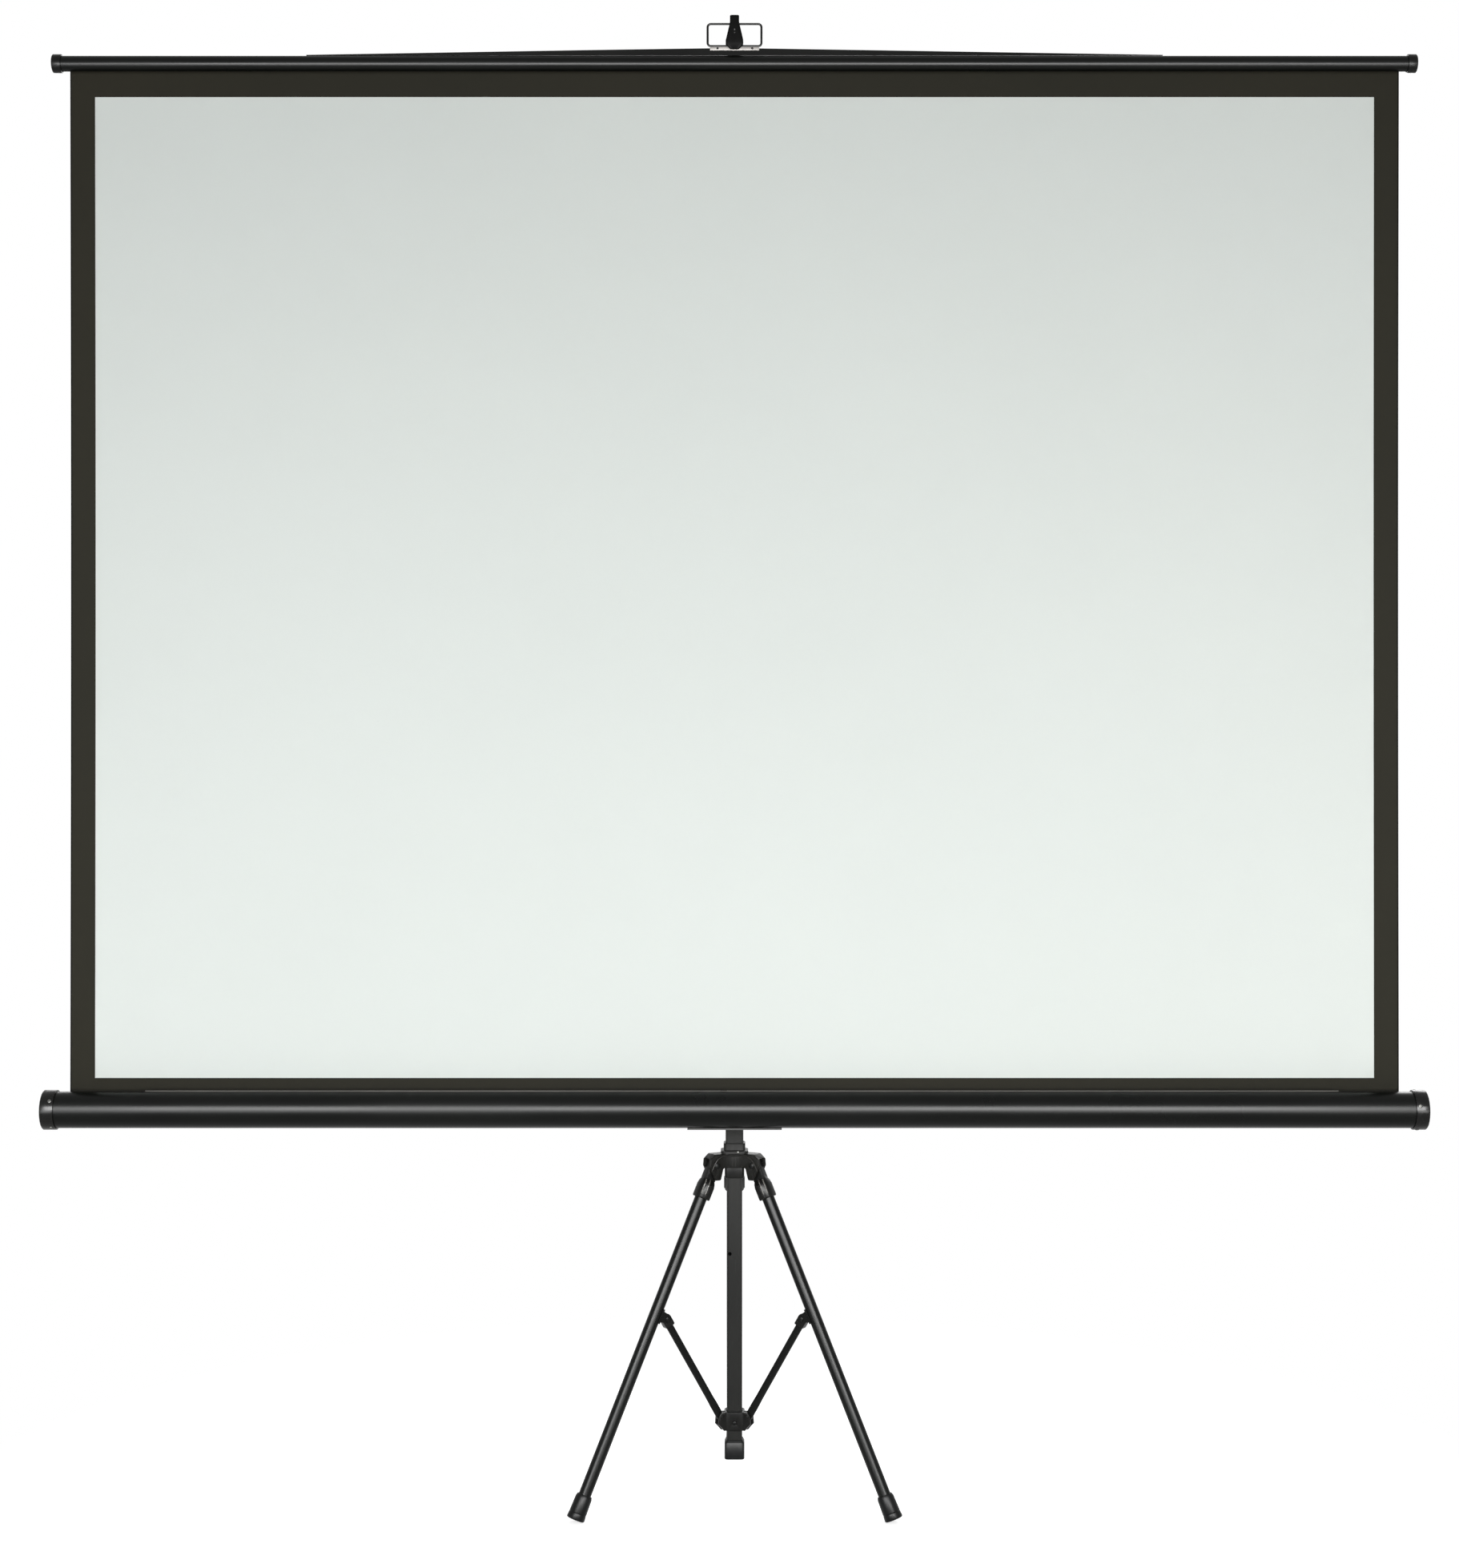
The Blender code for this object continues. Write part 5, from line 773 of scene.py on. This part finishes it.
# Leg heads: two ribs along each barrel, light in colour as painted highlights, the rear one's
# turned round the mast from the left one's
def make_leg_ribs():
    axis = Vector((0, MAST_Y, 0))
    turn = Matrix.Rotation(math.radians(REAR_TURN), 4, "Z")
    to_rear = Matrix.Translation(axis) @ turn @ Matrix.Translation(-axis)
    for side in ("left", "right", "rear"):
        node = "leg_head_right" if side == "right" else "leg_head_left"
        mirror = -1 if side == "right" else 1
        turned = to_rear if side == "rear" else Matrix.Identity(4)
        work = bmesh.new()
        for offset in (-RIB_OFFSET, RIB_OFFSET):
            ends = [
                Vector(PIVOT) + Vector(LEG_ALONG) * reach + Vector(LEG_ACROSS) * offset
                for reach in RIB_REACH
            ]
            stops = [(mirror * end.x * MM, end.y * MM) for end in ends]
            line = deeper(front_points(node, stops), RIB_SUNK)
            bead(work, [turned @ point for point in line], RIB_RADIUS)
        # Ribs take the light finish: painted highlights along the barrel
        add_piece(f"leg_head_highlight_ribs_{side}", work, "black_plastic", f"leg_{side}", HIGHLIGHT_EDGE)


# Carriage and top collar: grip and foot screws of the handle, bands of the sleeve
def square_loop(half, corner, height):
    """Rounded square round the mast's axis at a height."""
    points = []
    for sx, sy, start in ((1, 1, 0), (-1, 1, 90), (-1, -1, 180), (1, -1, 270)):
        for step in range(5):
            turn = math.radians(start + 22.5 * step)
            x = sx * (half - corner) + corner * math.cos(turn)
            y = sy * (half - corner) + corner * math.sin(turn)
            points.append((x, MAST_Y + y, height))
    return points


def make_carriage_details():
    low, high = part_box("carry_handle")
    grip_height = middle("carry_handle").z
    ridges = [(GRIP_CORE, -GRIP_HALF)]
    for i in range(GRIP_RIDGES):
        start = 1 - GRIP_HALF + GRIP_PITCH * i
        ridges += [(radius, start + along) for radius, along in GRIP_RIDGE]
    ridges += [(GRIP_CORE, GRIP_HALF)]
    work = bmesh.new()
    axis = Matrix.Translation((0, high.y - HANDLE_AXIS_DEPTH, grip_height))
    revolve(work, in_metres(ridges), axis)
    add_piece("handle_grip", work, "black_rubber", "slider")
    work = bmesh.new()
    face = low.y + HANDLE_FOOT - SEAT
    for foot in (-1, 1):
        for x in (-HANDLE_SCREW_X, HANDLE_SCREW_X):
            place = (x, face, grip_height + foot * HANDLE_SCREW_RISE)
            screw_head(work, *HANDLE_SCREW, placing(place, (0, 1, 0), turn=0.3))
    add_piece("handle_screws", work, "bright_steel", "slider", SCREW_STEEL)
    low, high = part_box("slider_sleeve")
    work = bmesh.new()
    top = high.z - SLEEVE_BAND_INSET
    for height in (low.z + SLEEVE_BAND_INSET, top, top - SLEEVE_BAND_PITCH):
        bead(work, square_loop(-low.x, BAND_CORNER, height), BAND_RADIUS, closed=True)
    add_piece("sleeve_bands", work, "black_plastic", "slider")


def make_top_collar_details():
    low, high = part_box("mast_top_collar")
    work = bmesh.new()
    band = square_loop(-low.x, BAND_CORNER, low.z + COLLAR_BAND_INSET)
    bead(work, band, BAND_RADIUS, closed=True)
    add_piece("top_collar_band", work, "black_plastic", "mast")
    work = bmesh.new()
    for facing, face in ((-1, low.y), (1, high.y)):
        place = (0, face - facing * SEAT, low.z + COLLAR_SCREW_RISE)
        screw_head(work, *TOP_COLLAR_SCREW, placing(place, (0, facing, 0), turn=0.5))
    add_piece("top_collar_screws", work, "bright_steel", "mast", SCREW_STEEL)


# Knobs: cap disc in the middle of each knob's face
def make_knob_caps():
    for name in ("slider_knob", "pole_knob"):
        place = (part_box(name)[1].x - SEAT, MAST_Y, middle(name).z)
        work = bmesh.new()
        revolve(work, in_metres(KNOB_CAP), placing(place, (1, 0, 0)), 32)
        add_piece(f"{name}_cap", work, "black_plastic", name)


# Head of the brace collar's screw, rivets of the bail plate
def make_small_fasteners():
    work = bmesh.new()
    place = middle("collar_screw")
    place.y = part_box("collar_screw")[0].y + 5 * SEAT
    screw_head(work, *BRACE_COLLAR_SCREW, placing(place, (0, -1, 0), turn=0.35))
    add_piece("collar_screw_head", work, "dark_steel", "post")
    low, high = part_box("bail_plate")
    work = bmesh.new()
    for x in PLATE_RIVET_X:
        place = (x, low.y + SEAT, low.z + PLATE_RIVET_RISE)
        rivet_head(work, *PLATE_RIVET, placing(place, (0, -1, 0)))
    add_piece("bail_plate_rivets", work, "dark_steel", "top_bar")


# Hook: nose with straight sides, fitted over the solid's narrower one, and its moulded mark
def make_hook_nose():
    low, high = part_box("pole_hook")
    front = low.y - NOSE_STANDOFF
    work = bmesh.new()
    rings = []
    for drop, half, depth in in_metres(NOSE_LEVELS):
        ring = []
        for turn in around(NOSE_SIDES):
            x, y = math.cos(turn), math.sin(turn)
            x = half * math.copysign(abs(x) ** NOSE_WIDTH_POWER, x)
            y = depth * math.copysign(abs(y) ** NOSE_DEPTH_POWER, y)
            ring.append(work.verts.new((x, front + NOSE_MIDDLE + y, high.z + drop)))
        rings.append(ring)
    for first, second in zip(rings, rings[1:]):
        join_rings(work, first, second, NOSE_SIDES)
    work.faces.new(rings[0])
    work.faces.new(rings[-1][::-1])
    # The nose takes the hook's darker moulding, painted shade
    add_piece("hook_nose", work, "black_plastic", "pole", HOOK_SHADED_BLACK)
    work = bmesh.new()
    place = (0, front + HOOK_MARK_SUNK, high.z - HOOK_MARK_DROP)
    matrix = placing(place, (0, -1, 0))
    narrow = Matrix.Diagonal((HOOK_MARK_NARROW, 1.0, 1.0, 1.0))
    revolve(work, in_metres(HOOK_MARK), matrix @ narrow)
    add_piece("hook_mark", work, "black_plastic", "pole")


make_cloth()
make_wound_cloth()
make_case_details()
make_hub_details()
make_leg_ribs()
make_carriage_details()
make_top_collar_details()
make_knob_caps()
make_small_fasteners()
make_hook_nose()


# Floor, background and light
def mix_shaders(tree, share, first, second):
    made = add_node(tree, "ShaderNodeMixShader", inputs={0: share, 1: first, 2: second})
    return made.outputs[0]


def glow(tree, kind, strength):
    """White light from an emission or background node."""
    return add_node(tree, kind, inputs={"Color": (*WHITE, 1), "Strength": strength}).outputs[0]


def seen_rays(tree):
    """1 for rays that see the background: from the camera, in a gloss or through glass."""
    path = add_node(tree, "ShaderNodeLightPath").outputs
    either = math_of(tree, "MAXIMUM", path["Is Camera Ray"], path["Is Glossy Ray"])
    return math_of(tree, "MAXIMUM", either, path["Is Transmission Ray"])


def make_floor():
    """Pale floor with soft shadows near the stand, plain white further out."""
    material = bpy.data.materials.new("pale_floor")
    material.use_nodes = True
    tree = material.node_tree
    tree.nodes.clear()
    place = add_node(tree, "ShaderNodeTexCoord").outputs["Object"]
    length = add_node(tree, "ShaderNodeVectorMath", {"operation": "LENGTH"}, {0: place})
    grey = (FLOOR_GREY, FLOOR_GREY, FLOOR_GREY, 1)
    lit = add_node(tree, "ShaderNodeBsdfDiffuse", inputs={"Color": grey}).outputs[0]
    lift = glow(tree, "ShaderNodeEmission", FLOOR_LIFT)
    near = add_node(tree, "ShaderNodeAddShader", inputs={0: lit, 1: lift}).outputs[0]
    plain = glow(tree, "ShaderNodeEmission", 1.0)
    share = remap(tree, length.outputs["Value"], FADE_START, FADE_END, 0, 1)
    faded = mix_shaders(tree, share, near, plain)
    output = add_node(tree, "ShaderNodeOutputMaterial")
    tree.links.new(mix_shaders(tree, seen_rays(tree), lit, faded), output.inputs["Surface"])
    work = bmesh.new()
    signs = ((-1, -1), (1, -1), (1, 1), (-1, 1))
    work.faces.new([work.verts.new((x * FLOOR_REACH, y * FLOOR_REACH, 0)) for x, y in signs])
    link_mesh("floor", work, [material])


def make_world():
    """Even fill for the object, plain white for the rays that see the background."""
    world = bpy.data.worlds.new("studio")
    SCENE.world = world
    world.use_nodes = True
    tree = world.node_tree
    tree.nodes.clear()
    fill = glow(tree, "ShaderNodeBackground", WORLD_FILL)
    plain = glow(tree, "ShaderNodeBackground", 1.0)
    output = add_node(tree, "ShaderNodeOutputWorld")
    tree.links.new(mix_shaders(tree, seen_rays(tree), fill, plain), output.inputs["Surface"])


def make_lamp(name, place, target, size, power, colour, only_gloss):
    data = bpy.data.lights.new(name, "AREA")
    data.shape = "RECTANGLE"
    data.size, data.size_y = size
    data.energy = power
    data.color = colour
    lamp = bpy.data.objects.new(name, data)
    lamp.visible_camera = False
    lamp.visible_diffuse = not only_gloss
    SCENE.collection.objects.link(lamp)
    lamp.location = place
    aim = Vector(target) - Vector(place)
    lamp.rotation_euler = aim.to_track_quat("-Z", "Y").to_euler()


def make_camera():
    data = bpy.data.cameras.new("camera")
    data.sensor_width = SENSOR
    data.lens = FOCAL_PIXELS / max(PHOTO_WIDTH, PHOTO_HEIGHT) * SENSOR
    camera = bpy.data.objects.new("camera", data)
    SCENE.collection.objects.link(camera)
    camera.location = (CAMERA_X, CLOTH_Y - CAMERA_DISTANCE, CAMERA_HEIGHT)
    camera.rotation_euler = (math.radians(90), 0, 0)
    SCENE.camera = camera


make_floor()
make_world()
for lamp in LAMPS:
    make_lamp(*lamp)
make_camera()
SCENE.view_settings.view_transform = "Standard"
